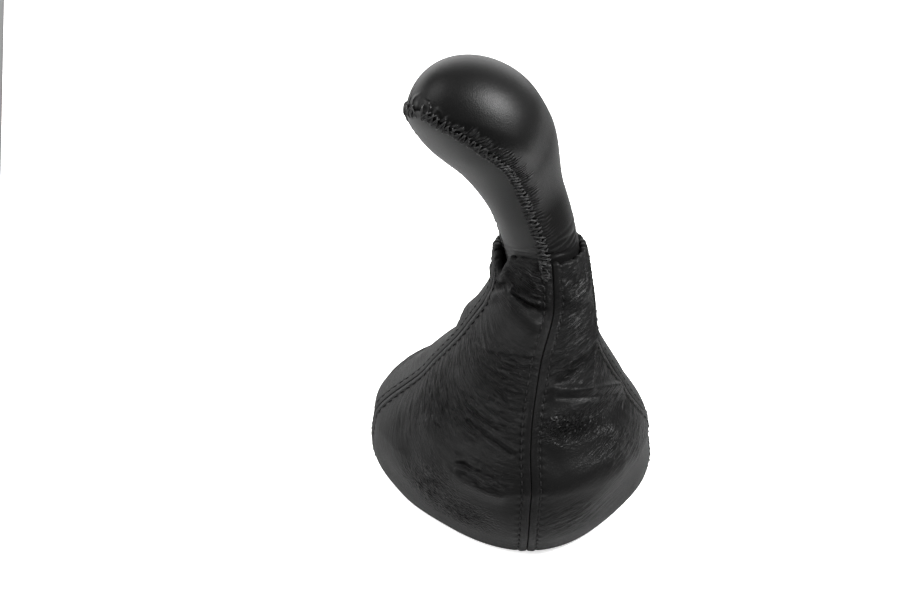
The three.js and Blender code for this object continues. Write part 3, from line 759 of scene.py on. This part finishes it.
def gaiter_panel(grid):
    """A closed sheet on a panel's grid, and its face."""
    relief, squeeze = folded(grid)
    relief = sewn(grid, relief)
    doubled = grid.is_wall & (grid.heights < GAITER_HEIGHT - ALLOWANCE["below_top"])
    allowance = np.clip((ALLOWANCE["reach"] - grid.edge) / ALLOWANCE["ease"], 0, 1) * doubled[:, None]
    sink = 0.5 * relief - GAITER_LEATHER * (1 + ALLOWANCE["extra"] * allowance)
    face = grid.points + grid.normals * relief[..., None]
    panel = closed_sheet(f"gaiter_{grid.side}", face, grid.points + grid.normals * sink[..., None])
    lean_left, lean_all = FLOW[grid.side]
    turned_down = lean_left * 2 * grid.half / 3 * grid.left_share(grid.across) ** 3
    flow = grid.up[:, None] - lean_all * grid.across - turned_down
    store_field(panel, "flow", np.stack([grid.across, flow, 0 * flow], -1))
    store_field(panel, "squeeze", squeeze)
    return panel, face


# %% Sewing rows
STITCHES_END_BELOW = 4.0
STITCH_START = 1.0
STITCH_LIFT = 0.34
STITCH_DIP = 0.75


def stitch_runs(grid, face, part):
    """Runs of points for one row of stitches beside a seam, each stitch dipping in at both ends."""
    rows = []
    for j in np.nonzero(grid.is_wall & (grid.heights < GAITER_HEIGHT - STITCHES_END_BELOW))[0]:
        order = np.argsort(grid.edge[j][part])
        both = np.concatenate([face[j][part], grid.normals[j][part]], 1)
        rows.append(read_along(grid.edge[j][part][order], both[order], STITCH_FROM_SEAM))
    rows = np.array(rows)
    lengths = path_lengths(rows[:, :3])
    share = np.linspace(0, 1, 7)
    lift = STITCH_LIFT - STITCH_DIP * np.abs(2 * share - 1) ** 4
    for start in np.arange(STITCH_START, lengths[-1] - STITCH_LENGTH, STITCH_PITCH):
        at = read_along(lengths, rows, start + share * STITCH_LENGTH)
        yield at[:, :3] + at[:, 3:] * lift[:, None]


# %% Four panels, their stitches and the cords behind their seams
CORD_DEPTH = 3.7
CORD_RADIUS = 1.1
NEAR_GRID = (235, 130)
FAR_GRID = (150, 80)
CORDS_END_BELOW = 26.0
gaiter_panels, gaiter_stitches, seam_cords = [], [], []
for side in ("front", "right", "rear", "left"):
    grid = PanelGrid(side, *(NEAR_GRID if side in ("front", "right") else FAR_GRID))
    panel, face = gaiter_panel(grid)
    area = float(np.trapz(grid.widths, grid.up)) * MM ** 2
    width, length = max(grid.widths), grid.up[-1]
    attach(panel, "root")
    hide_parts(f"gaiter_panel_{side}")
    middle = grid.edge.shape[1] // 2
    runs = [run for part in (slice(middle), slice(middle, None)) for run in stitch_runs(grid, face, part)]
    stitches = thread_object(f"topstitch_{side}", runs, STITCH_RADIUS)
    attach(stitches, "root")
    gaiter_panels.append(panel)
    gaiter_stitches.append(stitches)
    foot = (grid.kinds == "hem") | (grid.kinds == "bend")
    low = (grid.heights > 0) & (grid.heights < GAITER_HEIGHT - CORDS_END_BELOW)
    seam_cords.append((face[:, 0] - grid.normals[:, 0] * CORD_DEPTH)[foot | low])
    print(side, "flat", round(width, 1), "x", round(length, 1), "mm,", len(runs), "stitches")

cords = thread_object("seam_cords", seam_cords, CORD_RADIUS)
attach(cords, "root")

# %% [markdown]
# ## The grip's covers
#
# The under strip is a long tongue with a blunt end, on the inside of the hook. It is wider on the
# far side. The upper cover takes in all the rest. Both are drawn on the grip's form, with their edges
# rolled in at the lacing.

# %% Cover sizes
LACING_GAP = 0.45
GAP_AT_MOST = 0.3


def end_angle(cap):
    """The angle of the strip's blunt end, where the section has shrunk to a share cap of itself."""
    spread = 1 + STRIP_END_SPLAY ** 2
    blunt = STRIP_END_BLUNTNESS
    lift = (np.sqrt(blunt ** 2 + 4 * spread * cap ** 2) - blunt) / (2 * spread)
    return np.arccos(lift / np.maximum(cap, 1e-4))


def strip_half_angle(s, side):
    """The angle from the strip's middle to its near (1) or far (-1) edge at share s of the spine."""
    seam = np.radians(seam_angle_at(np.minimum(s, 1 - TIP_ROUNDING)))
    near = seam + end_angle(cap_at(s)) - end_angle(1.0)
    return near + np.radians(far_side_wider_at(s)) * (side < 0)


def strip_shares(count):
    return STRIP_END * np.sin(np.linspace(0, math.pi / 2, count))


def cover_rows(count):
    """Shares of the spine for a cover's rows, the half width there and the angle left for the lacing."""
    s = strip_shares(count)[:, None]
    radius = half_width_at(s) * cap_at(s)
    return s, radius, np.minimum(LACING_GAP / radius, GAP_AT_MOST)


def seam_curve(side):
    """The lacing's line on the grip from the foot to the strip's end, with its outward direction."""
    s = strip_shares(1200)
    phi = side * strip_half_angle(s, side)
    p = grip_surface(s, phi)
    return p, unit(p - grip_surface(s, phi, 1.0)), path_lengths(p)


# %% Gathers and wrinkles of the covers
COVER_BACK = 1.45
EDGE_DROP = 1.0
EDGE_ROLL = 2.4
DROP_AT_MOST = 1.1
GATHER_SHARES = [0, 0.2, 0.45, 0.6, 0.72, 0.86, 0.95, 1]
GATHER_AMOUNTS = [0.03, 0.08, 0.3, 1.0, 1.3, 1.3, 1.0, 0.6]
gather_amount_at = smooth_curve(GATHER_SHARES, GATHER_AMOUNTS)
# Distance up the spine, depth and phase
FOOT_WRINKLES = [(7.4, 0.5, 1.1), (9.2, 0.5, 1.7), (11.2, 0.45, 2.6), (13.4, 0.3, 0.4), (16.4, 0.16, 3.3)]


def foot_wrinkles(s, phi):
    """Shallow level wrinkles round the foot of the neck, where the gaiter is tied."""
    sink = 0
    for run, depth, phase in FOOT_WRINKLES:
        wander = 0.9 * np.sin(2 * phi + phase) + 0.5 * np.sin(5 * phi + 2.3 * phase)
        sink = sink + depth * bell(s * SPINE_LENGTH - run - wander, 0.7)
    return sink


def finish_cover(name, s, phi, points, edge, gathers, replaced):
    """Rolls a cover's edge down to the seam, wrinkles it, and stores what its finish reads."""
    roll = np.clip(1 - edge / EDGE_ROLL, 0, 1)
    drop = EDGE_DROP * (1 - np.sqrt(1 - roll ** 2)) + foot_wrinkles(s, phi)
    normals = grid_normals(points)
    normals *= np.sign(((points - grip_surface(s, phi, 2.0)) * normals).sum(-1, keepdims=True))
    face = points - normals * np.minimum(drop, DROP_AT_MOST)[..., None]
    cover = closed_sheet(name, face, points - normals * COVER_BACK)
    run = np.broadcast_to(s * SPINE_LENGTH, edge.shape)
    store_field(cover, "seam", np.stack([run, edge, gathers * gather_amount_at(s) + 0 * edge], -1))
    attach(cover, "root")
    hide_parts(replaced)
    return cover


# %% Under strip
def under_strip(rows, columns):
    s, radius, gap = cover_rows(rows)
    across = np.sin(np.linspace(-math.pi / 2, math.pi / 2, columns))[None, :]
    half = np.where(across > 0, strip_half_angle(s, 1), strip_half_angle(s, -1))
    phi = across * (half - gap)
    points = grip_surface(s, phi)
    edge = (half - np.abs(phi)) * radius
    return finish_cover("cover_under", s, phi, points, edge, 0.12, "grip_cover_under")


strip = under_strip(260, 60)

# %% Upper cover
def upper_cover(rows, columns):
    s, radius, gap = cover_rows(rows)
    share = np.linspace(0, 1, columns)[None, :]
    share = share - 0.06 * np.sin(2 * math.pi * share)
    low, high = strip_half_angle(s, 1), 2 * math.pi - strip_half_angle(s, -1)
    phi = low + gap + (high - low - 2 * gap) * share
    points = grip_surface(s, phi)
    edge = np.minimum(phi - low, high - phi) * radius
    return finish_cover("cover_upper", s, phi, points, edge, 1.0, "grip_cover_upper")


dome = upper_cover(300, 160)

# %% [markdown]
# ## The lacing
#
# The two covers are drawn together by hand. Each loop of thread goes over the joint from the strip to
# the dome, slanting one way and then the other, and no two are quite alike. A second thread wanders
# along the joint under the loops. The pull of the loops is what gathers the dome's leather.

# %% Lacing
LACE_PITCH = 2.5
LACE_REACH = (2.5, 2.9)
LACE_RADIUS = 0.36
LACE_SLANT = (0.4, 1.7)
LACE_VARIES = (0.75, 1.2)
LACE_LIFT = 0.45
LACE_DIP = 1.1
STRAND_PITCH = 5.6
STRAND_LENGTH = 6.4
TUFT_LOOPS = 16
TUFT_TOP = (-59.0, 126.0)
TUFT_FOOT = (-52.0, 118.0)
TUFT_TURN = (2.2, 4.4)
TUFT_SIZE = (0.9, 1.9)
TUFT_FLATNESS = (0.4, 1.0)


def seam_frame(p, out, lengths, along):
    """Points on the seam at the given lengths, with the directions out of it and sideways."""
    normal = read_along(lengths, out, along)
    tangent = unit(read_along(lengths, p, along + 0.5) - read_along(lengths, p, along - 0.5))
    return read_along(lengths, p, along), normal, np.cross(normal, tangent)


def tuft():
    """Loose loops where the lacing's end hangs out over the gaiter's edge."""
    loops = []
    for share in np.linspace(0, 1, TUFT_LOOPS):
        angle, height = (np.interp(share, [0, 1], ends) for ends in zip(TUFT_TOP, TUFT_FOOT))
        angle = math.radians(angle)
        middle = wall_surface(angle, min(height, GAITER_HEIGHT))[None, :]
        middle = middle + [[0, 0, max(height - GAITER_HEIGHT, 0)]]
        outward = np.array([math.cos(angle), math.sin(angle), 0.5])
        level = np.array([-outward[1], outward[0], 0])
        turn = np.linspace(0, chance.uniform(*TUFT_TURN), 13) + chance.uniform(0, 6)
        size = chance.uniform(*TUFT_SIZE)
        loop = np.cos(turn)[:, None] * level
        loop = loop + np.sin(turn)[:, None] * [0, 0, 1.0] * chance.uniform(*TUFT_FLATNESS)
        lift = 0.2 + 0.5 * np.sin(1.5 * turn + share * 9)[:, None]
        loops.append(middle + loop * size + outward * lift)
    return loops


lacings = []
for side, label in ((1, "near"), (-1, "far")):
    p, out, lengths = seam_curve(side)
    runs = []
    for k, start in enumerate(np.arange(2.0, lengths[-1] - 1.5, LACE_PITCH / 2)):
        slant = (1 if k % 2 else -1) * chance.uniform(*LACE_SLANT) + chance.normal(0, 0.3)
        share = np.linspace(-1, 1, 11)
        along = np.clip(start + share * slant + chance.normal(0, 0.2), 1.0, lengths[-1] - 1.0)
        at, normal, sideways = seam_frame(p, out, lengths, along)
        reach = np.where(share > 0, LACE_REACH[0], LACE_REACH[1]) * chance.uniform(*LACE_VARIES)
        lift = LACE_LIFT + chance.uniform(0, 0.35) - LACE_DIP * np.abs(share) ** 4
        runs.append(at + sideways * (share * reach)[:, None] + normal * lift[:, None])
    for start in np.arange(2.0, lengths[-1] - 8, STRAND_PITCH):
        share = np.linspace(0, 1, 15)
        at, normal, sideways = seam_frame(p, out, lengths, start + share * STRAND_LENGTH)
        sway = 0.9 * np.sin(2 * math.pi * (share * 1.7 + chance.uniform(0, 1)))
        lift = -0.15 + 0.4 * np.sin(2 * math.pi * (share * 2.3 + chance.uniform(0, 1)))
        runs.append(at + sideways * sway[:, None] + normal * lift[:, None])
    if side > 0:
        runs += tuft()
    lacing = thread_object(f"lacing_{label}", runs, LACE_RADIUS)
    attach(lacing, "root")
    lacings.append(lacing)
    print("lacing", label, len(runs), "threads over", round(lengths[-1], 1), "mm")

# %% [markdown]
# ## Finishes
#
# A finish is a network of nodes that work out colour, gloss and grain at each point. Writing it as
# sums keeps it readable, so a small class wraps a socket and lets Python's own signs add the nodes.

# %% A small language for finishes
class Signal:
    """A number that changes over a surface."""

    def __init__(self, finish, socket):
        self.finish = finish
        self.socket = socket

    def math(self, operation, *terms):
        return self.finish.node("ShaderNodeMath", {"operation": operation}, dict(enumerate(terms)))

    def __add__(self, other):
        return self.math("ADD", self, other)

    __radd__ = __add__

    def __mul__(self, other):
        return self.math("MULTIPLY", self, other)

    __rmul__ = __mul__

    def __sub__(self, other):
        return self.math("SUBTRACT", self, other)

    def __rsub__(self, other):
        return self.math("SUBTRACT", other, self)

    def __pow__(self, other):
        return self.math("POWER", self, other)

    def apply(self, operation):
        return self.math(operation, self)


class Finish:
    """A material built node by node, ending in one Principled surface."""

    def __init__(self, name, **constants):
        self.material = bpy.data.materials.new(name)
        self.material.use_nodes = True
        self.tree = self.material.node_tree
        self.surface = self.tree.nodes["Principled BSDF"]
        for socket, value in constants.items():
            self.surface.inputs[socket.replace("_", " ")].default_value = value

    def node(self, kind, settings=None, inputs=None, output=0):
        made = self.tree.nodes.new(kind)
        for key, value in (settings or {}).items():
            setattr(made, key, value)
        for key, value in (inputs or {}).items():
            if isinstance(value, Signal):
                self.tree.links.new(value.socket, made.inputs[key])
            else:
                made.inputs[key].default_value = value
        return Signal(self, made.outputs[output])

    def place(self):
        return self.node("ShaderNodeTexCoord", output="Object")

    def field(self, name):
        """The three numbers that a mesh keeps for each point under a name."""
        stored = self.node("ShaderNodeAttribute", {"attribute_name": name}, output="Vector")
        return [self.node("ShaderNodeSeparateXYZ", {}, {"Vector": stored}, output=axis) for axis in "XYZ"]

    def joined(self, x, y, z=0.0):
        return self.node("ShaderNodeCombineXYZ", {}, {"X": x, "Y": y, "Z": z})

    def noise(self, scale, detail=3.0, place=None):
        inputs = {"Vector": place or self.place(), "Scale": scale, "Detail": detail, "Roughness": 0.5}
        return self.node("ShaderNodeTexNoise", {}, inputs)

    def cells(self, scale, place=None):
        inputs = {"Vector": place or self.place(), "Scale": scale}
        return self.node("ShaderNodeTexVoronoi", {"feature": "DISTANCE_TO_EDGE"}, inputs)

    def spread(self, value, low, high, to_low=0.0, to_high=1.0):
        inputs = {"Value": value, "From Min": low, "From Max": high, "To Min": to_low, "To Max": to_high}
        return self.node("ShaderNodeMapRange", {}, inputs)

    def vary(self, noise, low, high):
        """Stretches a noise, which keeps near its middle, over low to high."""
        return self.spread(noise, 0.3, 0.7, low, high)

    def mix(self, share, first, second):
        settings = {"data_type": "RGBA"}
        return self.node("ShaderNodeMix", settings, {0: share, 6: first, 7: second}, output=2)

    def bump(self, height, distance):
        return self.node("ShaderNodeBump", {}, {"Height": height, "Distance": distance, "Strength": 1.0})

    def feed(self, socket, signal):
        self.tree.links.new(signal.socket, self.surface.inputs[socket])

    def cover(self, *objects):
        for obj in objects:
            obj.data.materials.clear()
            obj.data.materials.append(self.material)


# %% Leather
BROAD_PATCHES = 28.0
GAITER_GRAIN = 1000.0
GRIP_GRAIN = 1200.0
PEBBLE_EDGE = 0.22
PORES_PER_PEBBLE = 2.2
TURNED_AWAY = (0.3, 0.85)


def leather(name, shades, gloss, shine, matt_edge, grain, pebble_height):
    """A black hide, its roughness, and the heights in millimetres of its grain for a bump to read."""
    finish = Finish(name, Specular_IOR_Level=shine)
    pebbles = finish.spread(finish.cells(grain), 0.0, PEBBLE_EDGE)
    pores = finish.noise(grain * PORES_PER_PEBBLE, 4.0)
    broad = finish.noise(BROAD_PATCHES, 4.0)
    colours = [grey(shade) for shade in shades]
    finish.feed("Base Color", finish.mix(finish.vary(broad, 0.0, 1.0), *colours))
    facing = finish.node("ShaderNodeLayerWeight", {}, {"Blend": 0.5}, output="Facing")
    duller = finish.spread(facing, *TURNED_AWAY, 0.0, matt_edge)
    roughness = finish.vary(broad * 0.6 + pores * 0.4, gloss - 0.06, gloss + 0.08) + duller
    return finish, roughness, pebbles * pebble_height + pores * (0.5 * pebble_height) + broad * 0.1


# %% Fine creases of the gaiter's hide
SOFT_CREASE = {"length": 13.0, "width": 2.4, "height": 1.1}
FINE_CREASE = {"length": 8.0, "width": 1.2, "height": 0.24}
CRUMPLE = {"length": 2.8, "width": 1.1, "height": 0.8}
UNSQUEEZED = 0.1
FLOW_WANDER = 4

hide, roughness, grain = leather("soft_black_hide", (0.004, 0.006), 0.34, 0.055, 0.34, GAITER_GRAIN, 0.03)
across, flow, _ = hide.field("flow")
flowing, crumpled, _ = hide.field("squeeze")
flow = flow + hide.noise(60.0, 2.0) * FLOW_WANDER


def stretched(shape):
    """A place to read a texture at, drawn out along the way the hide flows."""
    return hide.joined(across * (1 / shape["length"]), flow * (1 / shape["width"]))


soft = hide.noise(1.0, 1.0, stretched(SOFT_CREASE))
fine = (hide.noise(1.0, 1.0, stretched(FINE_CREASE)) - 0.5).apply("ABSOLUTE")
fine = 1 - hide.spread(fine, 0.0, 0.07)
net = 1 - hide.spread(hide.cells(1.0, stretched(CRUMPLE)), 0.0, 0.3)
drawn = (soft * SOFT_CREASE["height"] + fine * FINE_CREASE["height"]) * (flowing + UNSQUEEZED)
hide.feed("Normal", hide.bump(grain + drawn + net * crumpled * CRUMPLE["height"], MM))
hide.feed("Roughness", roughness)
hide.cover(*gaiter_panels, cords)

# %% Gathers of the grip's hide
GATHER_PITCH = 1.9
GATHER_HEIGHT = 2.2
GATHER_REACH = 7.0
GATHER_END = (7.0, 12.0)
GATHER_WANDER = 3.2
SEAM_SHADE = 2.4
SEAM_DULLNESS = 0.35


def grip_finish(name, shades, shine, matt_edge, gather_height):
    """Smooth hide with gathers that run out from the seam and die away over the leather."""
    hide, roughness, grain = leather(name, shades, 0.38, shine, matt_edge, GRIP_GRAIN, 0.022)
    run, distance, amount = hide.field("seam")
    wander = hide.noise(90.0, 2.0) * GATHER_WANDER
    wave = (run * (1 / GATHER_PITCH) + wander + distance * 0.06) * (2 * math.pi)
    ridges = (wave.apply("SINE") * 0.5 + 0.5) ** 1.4
    reached = distance * hide.spread(hide.noise(230.0, 1.0), 0.35, 0.65, 0.75, 2.0) * (1 / GATHER_REACH)
    falling = (reached * reached * -1).apply("EXPONENT")
    near_seam = hide.spread(distance, *GATHER_END, 1.0, 0.0)
    gathers = ridges * falling * near_seam * amount * gather_height
    hide.feed("Normal", hide.bump(grain + gathers, MM))
    close = (distance * distance * (-1 / SEAM_SHADE ** 2)).apply("EXPONENT")
    hide.feed("Roughness", roughness + close * SEAM_DULLNESS)
    return hide


grip_finish("dome_hide", (0.002, 0.004), 0.09, 0.16, GATHER_HEIGHT).cover(dome)
# The strip's shades, many times lighter than the dome's, are painted light: a lit copy of the same black
# hide, standing in for light its underside doesn't get from the lamps.
grip_finish("strip_hide_painted_light", (0.04, 0.05), 0.06, 0.24, 0.3).cover(strip)

# %% Thread, plastic, rubber and nylon
def thread_finish(name, shade, roughness, shine):
    finish = Finish(name, Base_Color=grey(shade), Roughness=roughness, Specular_IOR_Level=shine)
    finish.feed("Normal", finish.bump(finish.noise(2600.0, 2.0), 0.00008))
    return finish


def moulded(name, colour, roughness, texture):
    finish = Finish(name, Base_Color=colour)
    speckle = finish.noise(texture, 3.0)
    finish.feed("Normal", finish.bump(speckle, 0.00004))
    finish.feed("Roughness", finish.vary(speckle, roughness - 0.06, roughness + 0.06))
    return finish


thread_finish("sewing_thread", 0.006, 0.6, 0.12).cover(*gaiter_stitches)
thread_finish("lacing_thread", 0.014, 0.46, 0.2).cover(*lacings)
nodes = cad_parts
plastic = moulded("black_moulding", (0.02, 0.02, 0.021, 1), 0.5, 1800.0)
plastic.cover(nodes["grip_core"], nodes["gaiter_collar"])
moulded("black_rubber", grey(0.012), 0.75, 900.0).cover(nodes["lever_sleeve"])
moulded("black_nylon", grey(0.03), 0.4, 1400.0).cover(nodes["cable_tie"])

# %% [markdown]
# ## Camera
#
# The camera stands where the photographer stood, so the object can be compared with its picture.

# %% Camera
scene = bpy.context.scene
VIEW_AZIMUTH, VIEW_ELEVATION = 42, 32
VIEW_DISTANCE = 795.5
PHOTO_WIDTH, PHOTO_HEIGHT = 920, 613
SENSOR = 36.0
LENS = 63.94
BASE_IN_PHOTO = (511.2, 478.3)



def heading(azimuth, elevation):
    """A direction by degrees round from the front and degrees above level."""
    turn, rise = math.radians(azimuth), math.radians(elevation)
    return np.array([math.sin(turn) * math.cos(rise), -math.cos(turn) * math.cos(rise), math.sin(rise)])


focal = LENS / SENSOR * PHOTO_WIDTH
backward = heading(VIEW_AZIMUTH, VIEW_ELEVATION)
rightward = np.array([math.cos(math.radians(VIEW_AZIMUTH)), math.sin(math.radians(VIEW_AZIMUTH)), 0])
upward = np.cross(backward, rightward)
eye = (
    gaiter_middle
    + backward * VIEW_DISTANCE
    - rightward * (BASE_IN_PHOTO[0] - PHOTO_WIDTH / 2) * VIEW_DISTANCE / focal
    - upward * (PHOTO_HEIGHT / 2 - BASE_IN_PHOTO[1]) * VIEW_DISTANCE / focal
)
camera_data = bpy.data.cameras.new("camera")
camera_data.sensor_width = SENSOR
camera_data.lens = LENS
camera_data.clip_end = 50
camera = bpy.data.objects.new("camera", camera_data)
scene.collection.objects.link(camera)
camera.matrix_world = Matrix.Translation(Vector(eye * MM)) @ Matrix(
    np.stack([rightward, upward, backward], axis=1).tolist()
).to_4x4()
scene.camera = camera
print("camera at", eye.round(1))

# %% [markdown]
# ## Paper and light
#
# The object stands on a white sheet of paper that nearly fills the picture, in a dim room. Black
# leather hardly shows its own colour: what is seen is the room, faint where the surface faces the
# camera, and bright where it turns away at an edge. A pale wall behind and to the left draws the light
# edges. A small lamp to the right makes the soft highlight on the dome, a wide one behind lights the
# back of the grip, and one from above lights the folds.

# %% Paper, table and wall
PAPER_MARGIN = 14.0
TABLE_HALF = 6000.0
WALL_RADIUS = 1500.0
WALL_HEIGHT = 1000.0
WALL_FROM, WALL_TO = 190.0, 335.0


def on_floor(px, py):
    """The point of the floor that is seen at a place in the photo."""
    ray = rightward * (px - PHOTO_WIDTH / 2) + upward * (PHOTO_HEIGHT / 2 - py) - backward * focal
    return eye - ray * (eye[2] / ray[2])


picture_corners = [(0, 0), (PHOTO_WIDTH, 0), (PHOTO_WIDTH, PHOTO_HEIGHT), (0, PHOTO_HEIGHT)]
paper_points = np.array([on_floor(px, py) for px, py in picture_corners])
paper_points += np.sign(paper_points - paper_points.mean(0)) * PAPER_MARGIN
paper_points[:, 2] = 0
paper = new_object("paper", paper_points, np.array([[0, 1, 2, 3]]))
table_corners = np.array([[-1, -1, 0], [1, -1, 0], [1, 1, 0], [-1, 1, 0]], float)
table_points = table_corners * TABLE_HALF - np.array([0, 0, 1.0])
table = new_object("table", table_points, np.array([[0, 1, 2, 3]]))
wall_angles = np.radians(np.linspace(WALL_FROM, WALL_TO, 25))
wall_foot = np.stack([np.sin(wall_angles), -np.cos(wall_angles), 0 * wall_angles], -1) * WALL_RADIUS
wall_points = np.stack([wall_foot, wall_foot + np.array([0, 0, WALL_HEIGHT])])
wall = new_object("wall", wall_points.reshape(-1, 3), grid_faces(2, len(wall_angles)))


def stage_finish(obj, colour, glow):
    """A matt stage surface that gives off a light of its own."""
    finish = Finish(obj.name, Base_Color=grey(colour), Emission_Strength=glow, Emission_Color=grey(1))
    finish.feed("Roughness", finish.vary(finish.noise(3.0), 0.85, 0.95))
    finish.cover(obj)
    obj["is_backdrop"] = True


# Colour and glow of each
stage_finish(paper, 0.86, 0.68)
stage_finish(table, 0.1, 0.0)
stage_finish(wall, 0.2, 4.6)

scene.view_settings.view_transform = "Standard"
sky = bpy.data.worlds.new("dim_room")
scene.world = sky
ROOM_LIGHT = 0.34
sky.use_nodes = True
background = sky.node_tree.nodes["Background"].inputs
background["Color"].default_value = grey(1)
background["Strength"].default_value = ROOM_LIGHT


# %% Lamps
DOME_SHINE_SHARE, DOME_SHINE_ANGLE = 0.83, 111.5
HEART_HEIGHT = 60.0
dome_shine = grip_surface(DOME_SHINE_SHARE, math.radians(DOME_SHINE_ANGLE))
gaiter_heart = gaiter_middle + np.array([0, 0, HEART_HEIGHT])
# What each lamp faces, where it hangs from there and how far off, its size in mm and its power in W
LAMPS = {
    "dome_lamp": (dome_shine, (116, 33), 380, 100, 5.5),
    "back_lamp": (dome_shine, (-132, 38), 1200, 900, 5.0),
    "top_lamp": (gaiter_heart, (-15, 60), 1100, 600, 11.0),
}
for name, (target, direction, distance, size, power) in LAMPS.items():
    light = bpy.data.lights.new(name, "AREA")
    light.size = size * MM
    light.energy = power
    lamp = bpy.data.objects.new(name, light)
    scene.collection.objects.link(lamp)
    lamp.location = Vector((target + heading(*direction) * distance) * MM)
    lamp.rotation_euler = (Vector(target * MM) - lamp.location).to_track_quat("-Z", "Y").to_euler()

# %% Sizes for comparison, then finish
boxes = {"cad": cad_box, "visual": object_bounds()}
{name: [[float(x) for x in corner] for corner in box] for name, box in boxes.items()}
